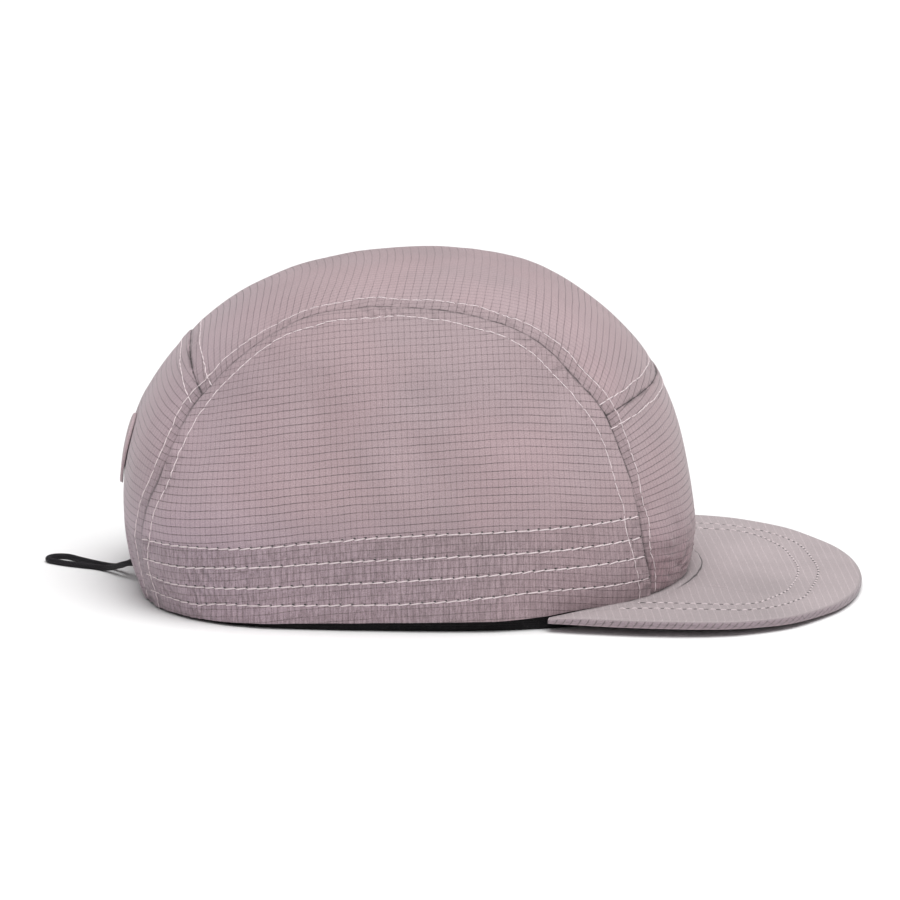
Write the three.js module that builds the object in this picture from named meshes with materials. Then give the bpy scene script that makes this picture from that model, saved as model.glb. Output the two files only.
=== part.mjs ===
// A soft five-panel running cap with a flat cloth-covered peak, as it stands on a table.
// Millimetres. +X points out along the peak and +Z up from the table. The origin is under the middle
// of the cap.
import * as THREE from 'three';
import { mergeVertices } from 'three/addons/utils/BufferGeometryUtils.js';

// Cloth, clearances and the crown's own axis, which runs across the cap at its widest level
const CLOTH = 1.2;
const GAP = 0.3;
const SEAM_CLEARANCE = 0.17;
const AXIS_X = -25.8;
const AXIS_Z = 35;
const HALF_WIDTH = 84;

// The crown round that axis: angle from the peak over the top to the back, reach on the centre line,
// and how full the section across it is
const CROWN = [
  { at: -90, reach: 96, fullness: 2.8 },
  { at: -60, reach: 98, fullness: 2.8 },
  { at: -35, reach: 99.5, fullness: 2.7 },
  { at: -15, reach: 98.8, fullness: 2.6 },
  { at: 0, reach: 95.8, fullness: 2.4 },
  { at: 15, reach: 94, fullness: 2.3 },
  { at: 30, reach: 92.5, fullness: 2.3 },
  { at: 45, reach: 89.6, fullness: 2.3 },
  { at: 60, reach: 87.2, fullness: 2.35 },
  { at: 75, reach: 83.3, fullness: 2.4 },
  { at: 90, reach: 81.7, fullness: 2.4 },
  { at: 105, reach: 82.6, fullness: 2.4 },
  { at: 120, reach: 86.1, fullness: 2.4 },
  { at: 135, reach: 90.9, fullness: 2.4 },
  { at: 150, reach: 96, fullness: 2.5 },
  { at: 165, reach: 100.7, fullness: 2.7 },
  { at: 180, reach: 102.7, fullness: 3 },
  { at: 200, reach: 101.3, fullness: 3.3 },
  { at: 220, reach: 99, fullness: 3.3 },
  { at: 240, reach: 97, fullness: 3 },
  { at: 270, reach: 96, fullness: 2.8 },
];

// Half the width of the three middle panels, along the long seams to the side panels
const LONG_SEAM = [
  { at: -30, half: 50 },
  { at: -17, half: 54.6 },
  { at: -8, half: 58 },
  { at: 2, half: 57.3 },
  { at: 12, half: 56.9 },
  { at: 22, half: 56.3 },
  { at: 32, half: 55.7 },
  { at: 42, half: 54.7 },
  { at: 52, half: 52.6 },
  { at: 67, half: 50.2 },
  { at: 81, half: 47.3 },
  { at: 100, half: 45.2 },
  { at: 113, half: 43.8 },
  { at: 123, half: 43.5 },
  { at: 134, half: 45.4 },
  { at: 146, half: 47.9 },
  { at: 155, half: 49.5 },
  { at: 164, half: 53.2 },
  { at: 172, half: 54.9 },
  { at: 180, half: 52.4 },
  { at: 188, half: 49.2 },
  { at: 196, half: 45.6 },
  { at: 204, half: 41 },
];

// The two cross seams: angle on the centre line, and how much further it lies at a given half width
const FRONT_CROSS = { angle: 26.2, shift: 2.9, half: 55 };
const BACK_CROSS = { angle: 146.7, shift: 4.4, half: 50 };

// Height of the hem, by heading seen from above: 0 at the peak, 180 at the back
const HEM = [
  { at: 0, height: 8.4 },
  { at: 20, height: 8.2 },
  { at: 35, height: 7.8 },
  { at: 45, height: 7.2 },
  { at: 52, height: 6.3 },
  { at: 56, height: 5.6 },
  { at: 60, height: 4.8 },
  { at: 66, height: 4.3 },
  { at: 76, height: 4.1 },
  { at: 94, height: 3.5 },
  { at: 112, height: 2.6 },
  { at: 129, height: 1.6 },
  { at: 142, height: 0.7 },
  { at: 160, height: 0.5 },
  { at: 180, height: 0.5 },
];

// The peak, by heading: how far its rim lies from the crown's axis, the height of the rim's upper side,
// and its thickness, which thins out where it is caught under the side panels
const PEAK = [
  { at: 0, reach: 155.8, rim: 3.85, thick: 3.9 },
  { at: 10, reach: 155.3, rim: 3.85, thick: 3.9 },
  { at: 17, reach: 154.3, rim: 4, thick: 3.9 },
  { at: 22.5, reach: 152.5, rim: 4.3, thick: 3.9 },
  { at: 28, reach: 150.2, rim: 4.7, thick: 3.9 },
  { at: 31, reach: 147.9, rim: 4.9, thick: 3.9 },
  { at: 34, reach: 144.5, rim: 5.2, thick: 3.9 },
  { at: 37.5, reach: 140, rim: 5.5, thick: 3.9 },
  { at: 41.6, reach: 132.2, rim: 5.8, thick: 3.9 },
  { at: 46, reach: 122.3, rim: 6, thick: 3.9 },
  { at: 53, reach: 107, rim: 6, thick: 3.8 },
  { at: 57.5, reach: 98.6, rim: 5.7, thick: 3.4 },
  { at: 60.5, reach: 93, rim: 4.6, thick: 2.5 },
];
const PEAK_INNER_END = 58.5;
const PEAK_OUTER_END = 60.5;
const PEAK_SEAT = 0.7;
const PEAK_SWELL = 0.3;
const RIM_ROUND = 1.4;
const RIM_FLAT = [0.3, 0.7];

// The band inside the hem, which stands on the table
const BAND_LEVELS = [0, 7, 15, 22.5, 30];
const BAND_INSET = 2.4;
const BAND_THICK = 1.2;

// Gathers of the back panel, which its elastic draws in above the hem
const GATHER_PITCH = 9.2;
const GATHER_DEPTH = 0.5;
const GATHER_HEIGHT = 34;
const GATHER_CLEAR = [5, 10];
const GATHER_END = [38, 46];

// The round patch on the back, and the elastic cord
const PATCH = { angle: 173, radius: 12.5, thick: 1.2, bevel: 0.4 };
const CORD_RADIUS = 1;
const CORD_SIDES = 8;
const CORD_STEPS = 42;

// The cord's route: out of the hem, down on the table, round its end and back into the hem
const CORD_ROUTE = [
  [-124.4, 2.3, 6.4],
  [-125.2, 3.4, 5.9],
  [-127.1, 6.4, 4.5],
  [-129.1, 10.6, 2.8],
  [-131.8, 15, 1.5],
  [-135.6, 19.2, 1.05],
  [-140.1, 23.3, 1.05],
  [-144.1, 27.5, 1.05],
  [-147.5, 31.4, 1.05],
  [-149.1, 32.5, 1.05],
  [-151.1, 32.9, 1.05],
  [-153, 32.4, 1.05],
  [-154.5, 31.1, 1.05],
  [-155.4, 29.3, 1.05],
  [-155.4, 27.3, 1.05],
  [-154.6, 25.5, 1.05],
  [-153.2, 24.2, 1.05],
  [-149.2, 21.2, 1.05],
  [-143.8, 18.3, 1.05],
  [-138.8, 15.9, 1.05],
  [-135, 12.7, 1.35],
  [-132.1, 8.5, 2.5],
  [-129.6, 4.1, 4.3],
  [-126.8, 0.1, 5.8],
  [-124.4, -2.3, 6.4],
];

// How finely each sheet is divided, as rows by columns
const SIDE_GRID = [15, 24];
const TOP_GRID = [24, 12];
const FRONT_GRID = [10, 14];
const BACK_GRID = [12, 40];
const BAND_TURNS = 72;
const PEAK_SECTIONS = 44;
const PEAK_STATIONS = [0, 0.25, 0.5, 0.75];
const PATCH_SEGMENTS = 32;

// Level distances from the crown's axis that lie inside and outside it all round
const INSIDE = 10;
const OUTSIDE = 140;

const UP = new THREE.Vector3(0, 0, 1);

function mix(a, b, t) {
  return a + (b - a) * t;
}

// A table's column at a station, on a smooth curve through its rows
function read(table, column, at) {
  let row = 0;
  while (row < table.length - 2 && at > table[row + 1].at) {
    row += 1;
  }
  const from = table[row];
  const to = table[row + 1];
  const before = table[row - 1] ?? from;
  const after = table[row + 2] ?? to;
  const span = to.at - from.at;
  const t = THREE.MathUtils.clamp((at - from.at) / span, 0, 1);
  const leave = (span * (to[column] - before[column])) / (to.at - before.at);
  const arrive = (span * (after[column] - from[column])) / (after.at - from.at);
  const rise = to[column] - from[column];
  return from[column] + t * (leave + t * (3 * rise - 2 * leave - arrive + t * (leave + arrive - 2 * rise)));
}

// How far a point lies outside the crown's outer face: 0 on it
function crownLevel(point) {
  const x = point.x - AXIS_X;
  const z = point.z - AXIS_Z;
  const angle = THREE.MathUtils.euclideanModulo(THREE.MathUtils.radToDeg(Math.atan2(z, x)) + 90, 360) - 90;
  const fullness = read(CROWN, 'fullness', angle);
  const along = Math.hypot(x, z) / read(CROWN, 'reach', angle);
  return along ** fullness + (Math.abs(point.y) / HALF_WIDTH) ** fullness - 1;
}

function crownNormal(point) {
  const step = 0.05;
  const slope = (axis) => {
    const ahead = point.clone();
    const behind = point.clone();
    ahead[axis] += step;
    behind[axis] -= step;
    return crownLevel(ahead) - crownLevel(behind);
  };
  return new THREE.Vector3(slope('x'), slope('y'), slope('z')).normalize();
}

// The crown's outer face at an angle round its axis and a distance y from the centre line
function crownPoint(angle, y) {
  const fullness = read(CROWN, 'fullness', angle);
  const reach = read(CROWN, 'reach', angle) * (1 - (Math.abs(y) / HALF_WIDTH) ** fullness) ** (1 / fullness);
  const turn = THREE.MathUtils.degToRad(angle);
  return new THREE.Vector3(AXIS_X + reach * Math.cos(turn), y, AXIS_Z + reach * Math.sin(turn));
}

// The crown's outer face on one side, over a place in the centre plane
function crownSide(x, z, side) {
  const level = (y) => crownLevel(new THREE.Vector3(x, y, z));
  return new THREE.Vector3(x, side * bisect(level, 0, HALF_WIDTH), z);
}

// The crown's outer face at a heading and a height, moved in level by an inset
function crownPlan(heading, height, inset = 0) {
  const turn = THREE.MathUtils.degToRad(heading);
  const ray = (distance) =>
    new THREE.Vector3(AXIS_X + distance * Math.cos(turn), distance * Math.sin(turn), height);
  const point = ray(bisect((distance) => crownLevel(ray(distance)), INSIDE, OUTSIDE));
  const outward = crownNormal(point).setZ(0).normalize();
  return point.addScaledVector(outward, -inset);
}

// The place between two others where a rising or falling value passes 0
function bisect(value, low, high) {
  const rising = value(high) > value(low);
  for (let i = 0; i < 40; i += 1) {
    const middle = (low + high) / 2;
    if (value(middle) > 0 === rising) {
      high = middle;
    } else {
      low = middle;
    }
  }
  return (low + high) / 2;
}

function headingOf(point) {
  return THREE.MathUtils.radToDeg(Math.atan2(point.y, point.x - AXIS_X));
}

function hemHeight(heading) {
  return read(HEM, 'height', Math.abs(heading));
}

// The angle at which a line down the front or back of the crown meets the hem
function footAngle(halfAt, from, to) {
  const above = (angle) => {
    const point = crownPoint(angle, halfAt(angle));
    return point.z - hemHeight(headingOf(point));
  };
  return bisect(above, from, to);
}

function longSeam(angle) {
  return read(LONG_SEAM, 'half', angle);
}

function crossSeam(cross, y) {
  return cross.angle + cross.shift * (y / cross.half) ** 2;
}

// A closed solid through a row of rings. Each ring's points go out along one face and back along the other.
function loft(rings, closed = false) {
  const count = rings[0].length;
  const positions = rings.flat().flatMap((point) => point.toArray());
  const faces = [];
  const quad = (a, b, c, d) => faces.push(a, b, c, a, c, d);
  const spans = closed ? rings.length : rings.length - 1;
  for (let i = 0; i < spans; i += 1) {
    const here = i * count;
    const there = ((i + 1) % rings.length) * count;
    for (let j = 0; j < count; j += 1) {
      const next = (j + 1) % count;
      quad(here + j, there + j, there + next, here + next);
    }
  }
  if (!closed) {
    const end = (rings.length - 1) * count;
    for (let j = 0; j < count / 2 - 1; j += 1) {
      const back = count - 1 - j;
      quad(j, j + 1, back - 1, back);
      quad(end + j, end + back, end + back - 1, end + j + 1);
    }
  }
  const geometry = new THREE.BufferGeometry();
  geometry.setAttribute('position', new THREE.Float32BufferAttribute(positions, 3));
  geometry.setIndex(faces);
  return faceOutward(geometry);
}

// Turns a closed solid's faces round where they point into it
function faceOutward(geometry) {
  const positions = geometry.getAttribute('position');
  const index = geometry.getIndex();
  const corner = (i) => new THREE.Vector3().fromBufferAttribute(positions, index.getX(i));
  let volume = 0;
  for (let i = 0; i < index.count; i += 3) {
    volume += corner(i).dot(corner(i + 1).cross(corner(i + 2)));
  }
  if (volume < 0) {
    for (let i = 0; i < index.count; i += 3) {
      const swapped = index.getX(i + 1);
      index.setX(i + 1, index.getX(i + 2));
      index.setX(i + 2, swapped);
    }
  }
  geometry.computeVertexNormals();
  return geometry;
}

// A wall of cloth from a grid of places on the crown, rows by columns. Both faces follow the raise.
function clothWall([rows, columns], placeAt, raiseAt = () => 0) {
  const rings = [];
  for (let i = 0; i <= rows; i += 1) {
    const outer = [];
    const inner = [];
    for (let j = 0; j <= columns; j += 1) {
      const place = placeAt(i / rows, j / columns);
      const normal = crownNormal(place);
      const raise = raiseAt(place);
      outer.push(place.clone().addScaledVector(normal, raise));
      inner.unshift(place.clone().addScaledVector(normal, raise - CLOTH));
    }
    rings.push([...outer, ...inner]);
  }
  return loft(rings);
}

// A middle panel between two edges, each given as an angle at a part of the half width from -1 to 1
function middlePanel(grid, startAt, endAt, raiseAt) {
  return clothWall(
    grid,
    (v, u) => {
      const across = mix(-1, 1, u);
      const angle = mix(startAt(across), endAt(across), v);
      return crownPoint(angle, across * (longSeam(angle) - SEAM_CLEARANCE));
    },
    raiseAt,
  );
}

function crossEdge(cross, shift) {
  const clear = THREE.MathUtils.radToDeg(SEAM_CLEARANCE / read(CROWN, 'reach', cross.angle));
  return (across) => crossSeam(cross, across * longSeam(cross.angle)) + shift * clear;
}

function hemEdge(from, to) {
  return (across) => footAngle((angle) => across * (longSeam(angle) - SEAM_CLEARANCE), from, to);
}

function topPanel() {
  return middlePanel(TOP_GRID, crossEdge(FRONT_CROSS, 1), crossEdge(BACK_CROSS, -1));
}

function frontPanel() {
  return middlePanel(FRONT_GRID, crossEdge(FRONT_CROSS, -1), hemEdge(0, -40));
}

function backPanel() {
  return middlePanel(BACK_GRID, crossEdge(BACK_CROSS, 1), hemEdge(180, 215), backGathers);
}

// Waves down the back that grow towards the hem and leave the seams and the cord's place flat
function backGathers(place) {
  const up = THREE.MathUtils.smoothstep(place.z, 0, GATHER_HEIGHT);
  const middle = THREE.MathUtils.smoothstep(Math.abs(place.y), ...GATHER_CLEAR);
  const edge = 1 - THREE.MathUtils.smoothstep(Math.abs(place.y), ...GATHER_END);
  const wave = Math.sin((2 * Math.PI * Math.abs(place.y)) / GATHER_PITCH);
  return GATHER_DEPTH * (1 - up) * middle * edge * wave;
}

// A D-shaped side panel, spread between its hem and the long seam
function sidePanel(side) {
  const half = (angle) => longSeam(angle) + SEAM_CLEARANCE;
  const back = footAngle(half, 180, 215);
  const front = footAngle(half, 0, -40);
  const backHeading = headingOf(crownPoint(back, half(back)));
  const frontHeading = headingOf(crownPoint(front, half(front)));
  const seam = (angle) => crownPoint(angle, half(angle));
  const hem = (u) => {
    const heading = mix(backHeading, frontHeading, u);
    return crownPlan(heading, hemHeight(heading));
  };
  const rise = (v) => seam(mix(back, 180, v));
  const fall = (v) => seam(mix(front, 0, v));
  const arch = (u) => seam(mix(180, 0, u));
  return clothWall(SIDE_GRID, (v, u) => {
    const spread = (axis) =>
      mix(hem(u)[axis], arch(u)[axis], v) +
      mix(rise(v)[axis], fall(v)[axis], u) -
      mix(mix(hem(0)[axis], hem(1)[axis], u), mix(arch(0)[axis], arch(1)[axis], u), v);
    return crownSide(spread('x'), spread('z'), side);
  });
}

// The band follows the crown's inner face and drops straight to the table below the hem
function sweatband() {
  const rings = [];
  for (let i = 0; i < BAND_TURNS; i += 1) {
    const heading = (360 * i) / BAND_TURNS - 180;
    const wall = (inset) =>
      BAND_LEVELS.map((level) => crownPlan(heading, Math.max(level, hemHeight(heading)), inset).setZ(level));
    rings.push([...wall(BAND_INSET), ...wall(BAND_INSET + BAND_THICK).reverse()]);
  }
  return loft(rings, true);
}

// The peak, from one caught corner round to the other
function peak() {
  const [flatTop, flatFoot] = RIM_FLAT;
  const rings = [];
  for (let i = 0; i <= PEAK_SECTIONS; i += 1) {
    const turn = mix(-1, 1, i / PEAK_SECTIONS);
    const innerHeading = turn * PEAK_INNER_END;
    const outerHeading = Math.abs(turn) * PEAK_OUTER_END;
    const innerHeight = hemHeight(innerHeading) - PEAK_SEAT;
    const inner = crownPlan(innerHeading, innerHeight, CLOTH);
    const reach = read(PEAK, 'reach', outerHeading);
    const radians = THREE.MathUtils.degToRad(turn * PEAK_OUTER_END);
    const outer = new THREE.Vector3(AXIS_X + reach * Math.cos(radians), reach * Math.sin(radians), 0);
    outer.z = read(PEAK, 'rim', outerHeading);
    const thick = read(PEAK, 'thick', outerHeading);
    const round = RIM_ROUND / Math.hypot(outer.x - inner.x, outer.y - inner.y);
    const place = (t, down) =>
      inner
        .clone()
        .lerp(outer, t)
        .addScaledVector(UP, PEAK_SWELL * Math.sin(Math.PI * Math.min(t, 1)) - down * thick);
    const upper = [...PEAK_STATIONS.map((t) => place(t, 0)), place(1 - round, 0), place(1, flatTop)];
    const under = [...PEAK_STATIONS.map((t) => place(t, 1)), place(1 - round, 1), place(1, flatFoot)];
    rings.push([...upper, ...under.reverse()]);
  }
  return loft(rings);
}

// A flat disc with a soft edge, laid round the back of the crown
function backPatch() {
  const { angle, radius, thick, bevel } = PATCH;
  const profile = [
    new THREE.Vector2(0, 0),
    new THREE.Vector2(radius / 2, 0),
    new THREE.Vector2(radius, 0),
    new THREE.Vector2(radius, thick - bevel),
    new THREE.Vector2(radius - bevel, thick),
    new THREE.Vector2(radius / 2, thick),
    new THREE.Vector2(0, thick),
  ];
  const disc = new THREE.LatheGeometry(profile, PATCH_SEGMENTS);
  disc.deleteAttribute('normal');
  disc.deleteAttribute('uv');
  const geometry = mergeVertices(disc);
  const positions = geometry.getAttribute('position');
  const reach = read(CROWN, 'reach', angle);
  for (let i = 0; i < positions.count; i += 1) {
    const turn = THREE.MathUtils.radToDeg(positions.getX(i) / reach);
    const place = crownPoint(angle + turn, positions.getZ(i));
    place.addScaledVector(crownNormal(place), GAP + positions.getY(i));
    positions.setXYZ(i, place.x, place.y, place.z);
  }
  return faceOutward(geometry);
}

function drawcord() {
  const section = new THREE.Shape();
  for (let i = 0; i < CORD_SIDES; i += 1) {
    const turn = (2 * Math.PI * i) / CORD_SIDES;
    const corner = [CORD_RADIUS * Math.cos(turn), CORD_RADIUS * Math.sin(turn)];
    if (i === 0) {
      section.moveTo(...corner);
    } else {
      section.lineTo(...corner);
    }
  }
  section.closePath();
  const route = new THREE.CatmullRomCurve3(CORD_ROUTE.map((place) => new THREE.Vector3(...place)));
  return new THREE.ExtrudeGeometry(section, { steps: CORD_STEPS, extrudePath: route, curveSegments: 1 });
}

// Materials: one ripstop cloth in slightly different lights, black stretch webbing, black elastic
function ripstop(colour) {
  return new THREE.MeshStandardMaterial({ color: colour, roughness: 0.62, metalness: 0, side: THREE.DoubleSide });
}

function blackKnit() {
  return new THREE.MeshStandardMaterial({ color: 0x151316, roughness: 0.9, metalness: 0 });
}

function blackElastic() {
  return new THREE.MeshStandardMaterial({ color: 0x0f0d10, roughness: 0.7, metalness: 0 });
}

const cap = new THREE.Group();

function addPiece(name, geometry, material) {
  const piece = new THREE.Mesh(geometry, material);
  piece.name = name;
  cap.add(piece);
}

addPiece('side_panel_right', sidePanel(-1), ripstop(0xac989d));
addPiece('side_panel_left', sidePanel(1), ripstop(0xac989d));
addPiece('top_panel', topPanel(), ripstop(0xb8a5aa));
addPiece('front_panel', frontPanel(), ripstop(0xac9a9e));
addPiece('back_panel', backPanel(), ripstop(0xa49297));
addPiece('sweatband', sweatband(), blackKnit());
addPiece('peak', peak(), ripstop(0xbaaeb1));
addPiece('back_patch', backPatch(), ripstop(0xa49297));
addPiece('drawcord', drawcord(), blackElastic());

export default cap;
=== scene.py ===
"""A soft five-panel running cap with a flat stitched peak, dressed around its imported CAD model."""

import math
from contextlib import contextmanager

import bmesh
import bpy
import numpy as np
from mathutils import Matrix, Vector


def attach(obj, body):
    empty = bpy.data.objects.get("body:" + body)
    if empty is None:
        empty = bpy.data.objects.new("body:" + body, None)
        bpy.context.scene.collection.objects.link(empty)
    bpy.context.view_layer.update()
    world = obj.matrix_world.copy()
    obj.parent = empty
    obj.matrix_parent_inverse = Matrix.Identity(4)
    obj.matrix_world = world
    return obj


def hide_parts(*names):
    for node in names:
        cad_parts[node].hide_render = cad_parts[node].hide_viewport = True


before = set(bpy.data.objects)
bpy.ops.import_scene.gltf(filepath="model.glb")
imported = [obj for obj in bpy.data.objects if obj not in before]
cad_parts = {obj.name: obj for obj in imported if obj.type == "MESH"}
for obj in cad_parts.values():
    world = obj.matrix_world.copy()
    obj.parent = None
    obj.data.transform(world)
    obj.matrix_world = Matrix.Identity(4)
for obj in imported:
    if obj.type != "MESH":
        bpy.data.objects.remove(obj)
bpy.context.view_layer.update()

MM = 0.001


# Shader maths

class Wire:
    """A shader socket that takes part in sums as a number does"""

    def __init__(self, finish, socket):
        self.finish = finish
        self.socket = socket

    def maths(self, operation, *values):
        return self.finish.node("ShaderNodeMath", {"operation": operation}, dict(enumerate(values)))

    def __add__(self, other):
        return self.maths("ADD", self, other)

    def __sub__(self, other):
        return self.maths("SUBTRACT", self, other)

    def __rsub__(self, other):
        return self.maths("SUBTRACT", other, self)

    def __mul__(self, other):
        return self.maths("MULTIPLY", self, other)

    __radd__ = __add__
    __rmul__ = __mul__

    def near(self, pitch):
        """Distance to the nearest multiple of a pitch"""
        return self.maths("PINGPONG", self, pitch / 2)

    def size(self):
        return self.maths("ABSOLUTE", self)

    def step(self, low, high, start=0, end=1):
        """Runs smoothly from start to end while the value goes from low to high"""
        values = {"Value": self, "From Min": low, "From Max": high, "To Min": start, "To Max": end}
        return self.finish.node("ShaderNodeMapRange", {"interpolation_type": "SMOOTHSTEP"}, values)


class Finish:
    """A material and the nodes that are added to it"""

    def __init__(self, name, **uniform):
        self.material = bpy.data.materials.new(name)
        self.material.use_nodes = True
        self.tree = self.material.node_tree
        for socket, value in uniform.items():
            self.set(socket.replace("_", " "), value)

    def set(self, socket, value):
        self.plug(self.tree.nodes["Principled BSDF"].inputs[socket], value)

    def plug(self, socket, value):
        if isinstance(value, Wire):
            self.tree.links.new(value.socket, socket)
        else:
            socket.default_value = (*value, 1) if socket.type == "RGBA" else value

    def node(self, kind, settings=None, values=None, out=0):
        made = self.tree.nodes.new(kind)
        for key, value in (settings or {}).items():
            setattr(made, key, value)
        for key, value in (values or {}).items():
            self.plug(made.inputs[key], value)
        return Wire(self, made.outputs[out])

    def uv(self, name="cloth"):
        return self.node("ShaderNodeUVMap", {"uv_map": name})

    def place(self):
        return self.node("ShaderNodeTexCoord", out="Object")

    def split(self, vector):
        made = self.node("ShaderNodeSeparateXYZ", values={0: vector}).socket.node
        return [Wire(self, made.outputs[i]) for i in range(3)]

    def vector(self, operation, *values):
        return self.node("ShaderNodeVectorMath", {"operation": operation}, dict(enumerate(values)))

    def noise(self, vector, scale, detail=2, out="Fac", rough=0.5):
        values = {"Vector": vector, "Scale": scale, "Detail": detail, "Roughness": rough}
        return self.node("ShaderNodeTexNoise", {}, values, out)

    def mix(self, factor, a, b, blend="MIX"):
        settings = {"data_type": "RGBA", "blend_type": blend}
        return self.node("ShaderNodeMix", settings, {0: factor, 6: a, 7: b}, 2)

    def bump(self, height, distance):
        self.set("Normal", self.node("ShaderNodeBump", {}, {"Height": height, "Distance": distance}))


def srgb(*levels):
    return tuple(((v / 255 + 0.055) / 1.055) ** 2.4 for v in levels)


def darker(colour, share):
    return tuple(v * share for v in colour)


# Camera, floor and light

TARGET = Vector((3.2, 0, 52)) * MM
TARGET_ASIDE = -17.45 * MM
TARGET_ABOVE = -4.55 * MM
CAMERA_DISTANCE = 6.0
ELEVATION = math.radians(12)
ROLL = math.radians(0.4)
SENSOR = 36
FRAME_WIDTH = 0.315
FLOOR_SIZE = 80
# Name, direction and strength of each broad light
LIGHTS = (("light_above", (0.15, -0.2, 1), 2.9), ("light_front", (0.1, -1, 0.7), 0.3))
LIGHT_SPREAD = math.radians(60)
ROOM_LIGHT = 0.28


def add_camera():
    ahead = Vector((0, math.cos(ELEVATION), -math.sin(ELEVATION)))
    level = Vector((1, 0, 0))
    above = level.cross(ahead)
    right = level * math.cos(ROLL) + above * math.sin(ROLL)
    up = above * math.cos(ROLL) - level * math.sin(ROLL)
    place = TARGET + right * TARGET_ASIDE + up * TARGET_ABOVE - ahead * CAMERA_DISTANCE
    bpy.ops.object.camera_add()
    camera = bpy.context.object
    camera.name = "camera"
    camera.matrix_world = Matrix.Translation(place) @ Matrix((right, up, -ahead)).transposed().to_4x4()
    camera.data.sensor_width = SENSOR
    camera.data.lens = SENSOR * CAMERA_DISTANCE / FRAME_WIDTH
    bpy.context.scene.camera = camera


def add_studio():
    bpy.ops.mesh.primitive_plane_add(size=FLOOR_SIZE)
    floor = bpy.context.object
    floor.name = "floor"
    paint = Finish("pale_floor", Base_Color=(0.9, 0.9, 0.9), Roughness=0.9, Specular_IOR_Level=0.1)
    floor.data.materials.append(paint.material)
    for name, source, power in LIGHTS:
        bpy.ops.object.light_add(type="SUN", location=Vector(source) * 2)
        light = bpy.context.object
        light.name = name
        light.rotation_euler = Vector(source).to_track_quat("Z", "Y").to_euler()
        light.data.energy = power
        light.data.angle = LIGHT_SPREAD
    world = bpy.data.worlds.new("pale_room")
    world.use_nodes = True
    background = world.node_tree.nodes["Background"]
    background.inputs["Color"].default_value = (1, 1, 1, 1)
    background.inputs["Strength"].default_value = ROOM_LIGHT
    bpy.context.scene.world = world
    bpy.context.scene.view_settings.view_transform = "Standard"


add_camera()
add_studio()


# The crown's form, as in the CAD source

AXIS_X = -25.8
AXIS_Z = 35
HALF_WIDTH = 84
CLOTH = 1.2

# Angle round the crown's axis, reach on the centre line, fullness of the section across it
CROWN = np.array((
    (-90, 96, 2.8), (-60, 98, 2.8), (-35, 99.5, 2.7), (-15, 98.8, 2.6), (0, 95.8, 2.4), (15, 94, 2.3),
    (30, 92.5, 2.3), (45, 89.6, 2.3), (60, 87.2, 2.35), (75, 83.3, 2.4), (90, 81.7, 2.4), (105, 82.6, 2.4),
    (120, 86.1, 2.4), (135, 90.9, 2.4), (150, 96, 2.5), (165, 100.7, 2.7), (180, 102.7, 3), (200, 101.3, 3.3),
    (220, 99, 3.3), (240, 97, 3), (270, 96, 2.8),
))
# Angle, half the width between the long seams
LONG_SEAM = np.array((
    (-30, 50), (-17, 54.6), (-8, 58), (2, 57.3), (12, 56.9), (22, 56.3), (32, 55.7), (42, 54.7), (52, 52.6),
    (67, 50.2), (81, 47.3), (100, 45.2), (113, 43.8), (123, 43.5), (134, 45.4), (146, 47.9), (155, 49.5),
    (164, 53.2), (172, 54.9), (180, 52.4), (188, 49.2), (196, 45.6), (204, 41),
))
# Angle on the centre line, how much further it lies at a half width
FRONT_CROSS = (26.2, 2.9, 55)
BACK_CROSS = (146.7, 4.4, 50)
# Heading seen from above, height of the hem
HEM = np.array((
    (0, 8.4), (20, 8.2), (35, 7.8), (45, 7.2), (52, 6.3), (56, 5.6), (60, 4.8), (66, 4.3), (76, 4.1),
    (94, 3.5), (112, 2.6), (129, 1.6), (142, 0.7), (160, 0.5), (180, 0.5),
))


def read(table, column, at):
    """A table's column at stations, on a smooth curve through its rows"""
    at = np.asarray(at, float)
    key, value = table[:, 0], table[:, column]
    i = np.clip(np.searchsorted(key, at) - 1, 0, len(key) - 2)
    before, after = np.maximum(i - 1, 0), np.minimum(i + 2, len(key) - 1)
    span = key[i + 1] - key[i]
    t = np.clip((at - key[i]) / span, 0, 1)
    leave = span * (value[i + 1] - value[before]) / (key[i + 1] - key[before])
    arrive = span * (value[after] - value[i]) / (key[after] - key[i])
    rise = value[i + 1] - value[i]
    return value[i] + t * (leave + t * (3 * rise - 2 * leave - arrive + t * (leave + arrive - 2 * rise)))


def ramp(low, high, value):
    t = np.clip((value - low) / (high - low), 0, 1)
    return t * t * (3 - 2 * t)


def pair(a, b):
    return np.stack((a, b), axis=-1)


def unit(vectors):
    return vectors / np.linalg.norm(vectors, axis=-1, keepdims=True)


def run_lengths(points):
    """How far along a line through points each of them lies"""
    return np.concatenate(([0], np.cumsum(np.linalg.norm(np.diff(points, axis=0), axis=1))))


def angle_of(points):
    angle = np.degrees(np.arctan2(points[..., 2] - AXIS_Z, points[..., 0] - AXIS_X))
    return (angle + 90) % 360 - 90


def heading_of(points):
    return np.degrees(np.arctan2(points[..., 1], points[..., 0] - AXIS_X))


def reach_share(points):
    """How far out places lie as a share of the crown's reach there, and its fullness"""
    angle = angle_of(points)
    out = np.hypot(points[..., 0] - AXIS_X, points[..., 2] - AXIS_Z)
    return out / read(CROWN, 1, angle), read(CROWN, 2, angle)


def crown_level(points):
    """Nought on the crown, less inside it and more outside"""
    share, full = reach_share(points)
    return share**full + (np.abs(points[..., 1]) / HALF_WIDTH) ** full - 1


def crown_slope(points, step=0.05):
    slopes = [crown_level(points + axis) - crown_level(points - axis) for axis in np.eye(3) * step]
    return np.stack(slopes, axis=-1) / (2 * step)


def crown_normal(points):
    return unit(crown_slope(points))


def onto_crown(points):
    for _ in range(3):
        slope = crown_slope(points)
        points = points - slope * (crown_level(points) / (slope**2).sum(-1))[..., None]
    return points


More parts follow.
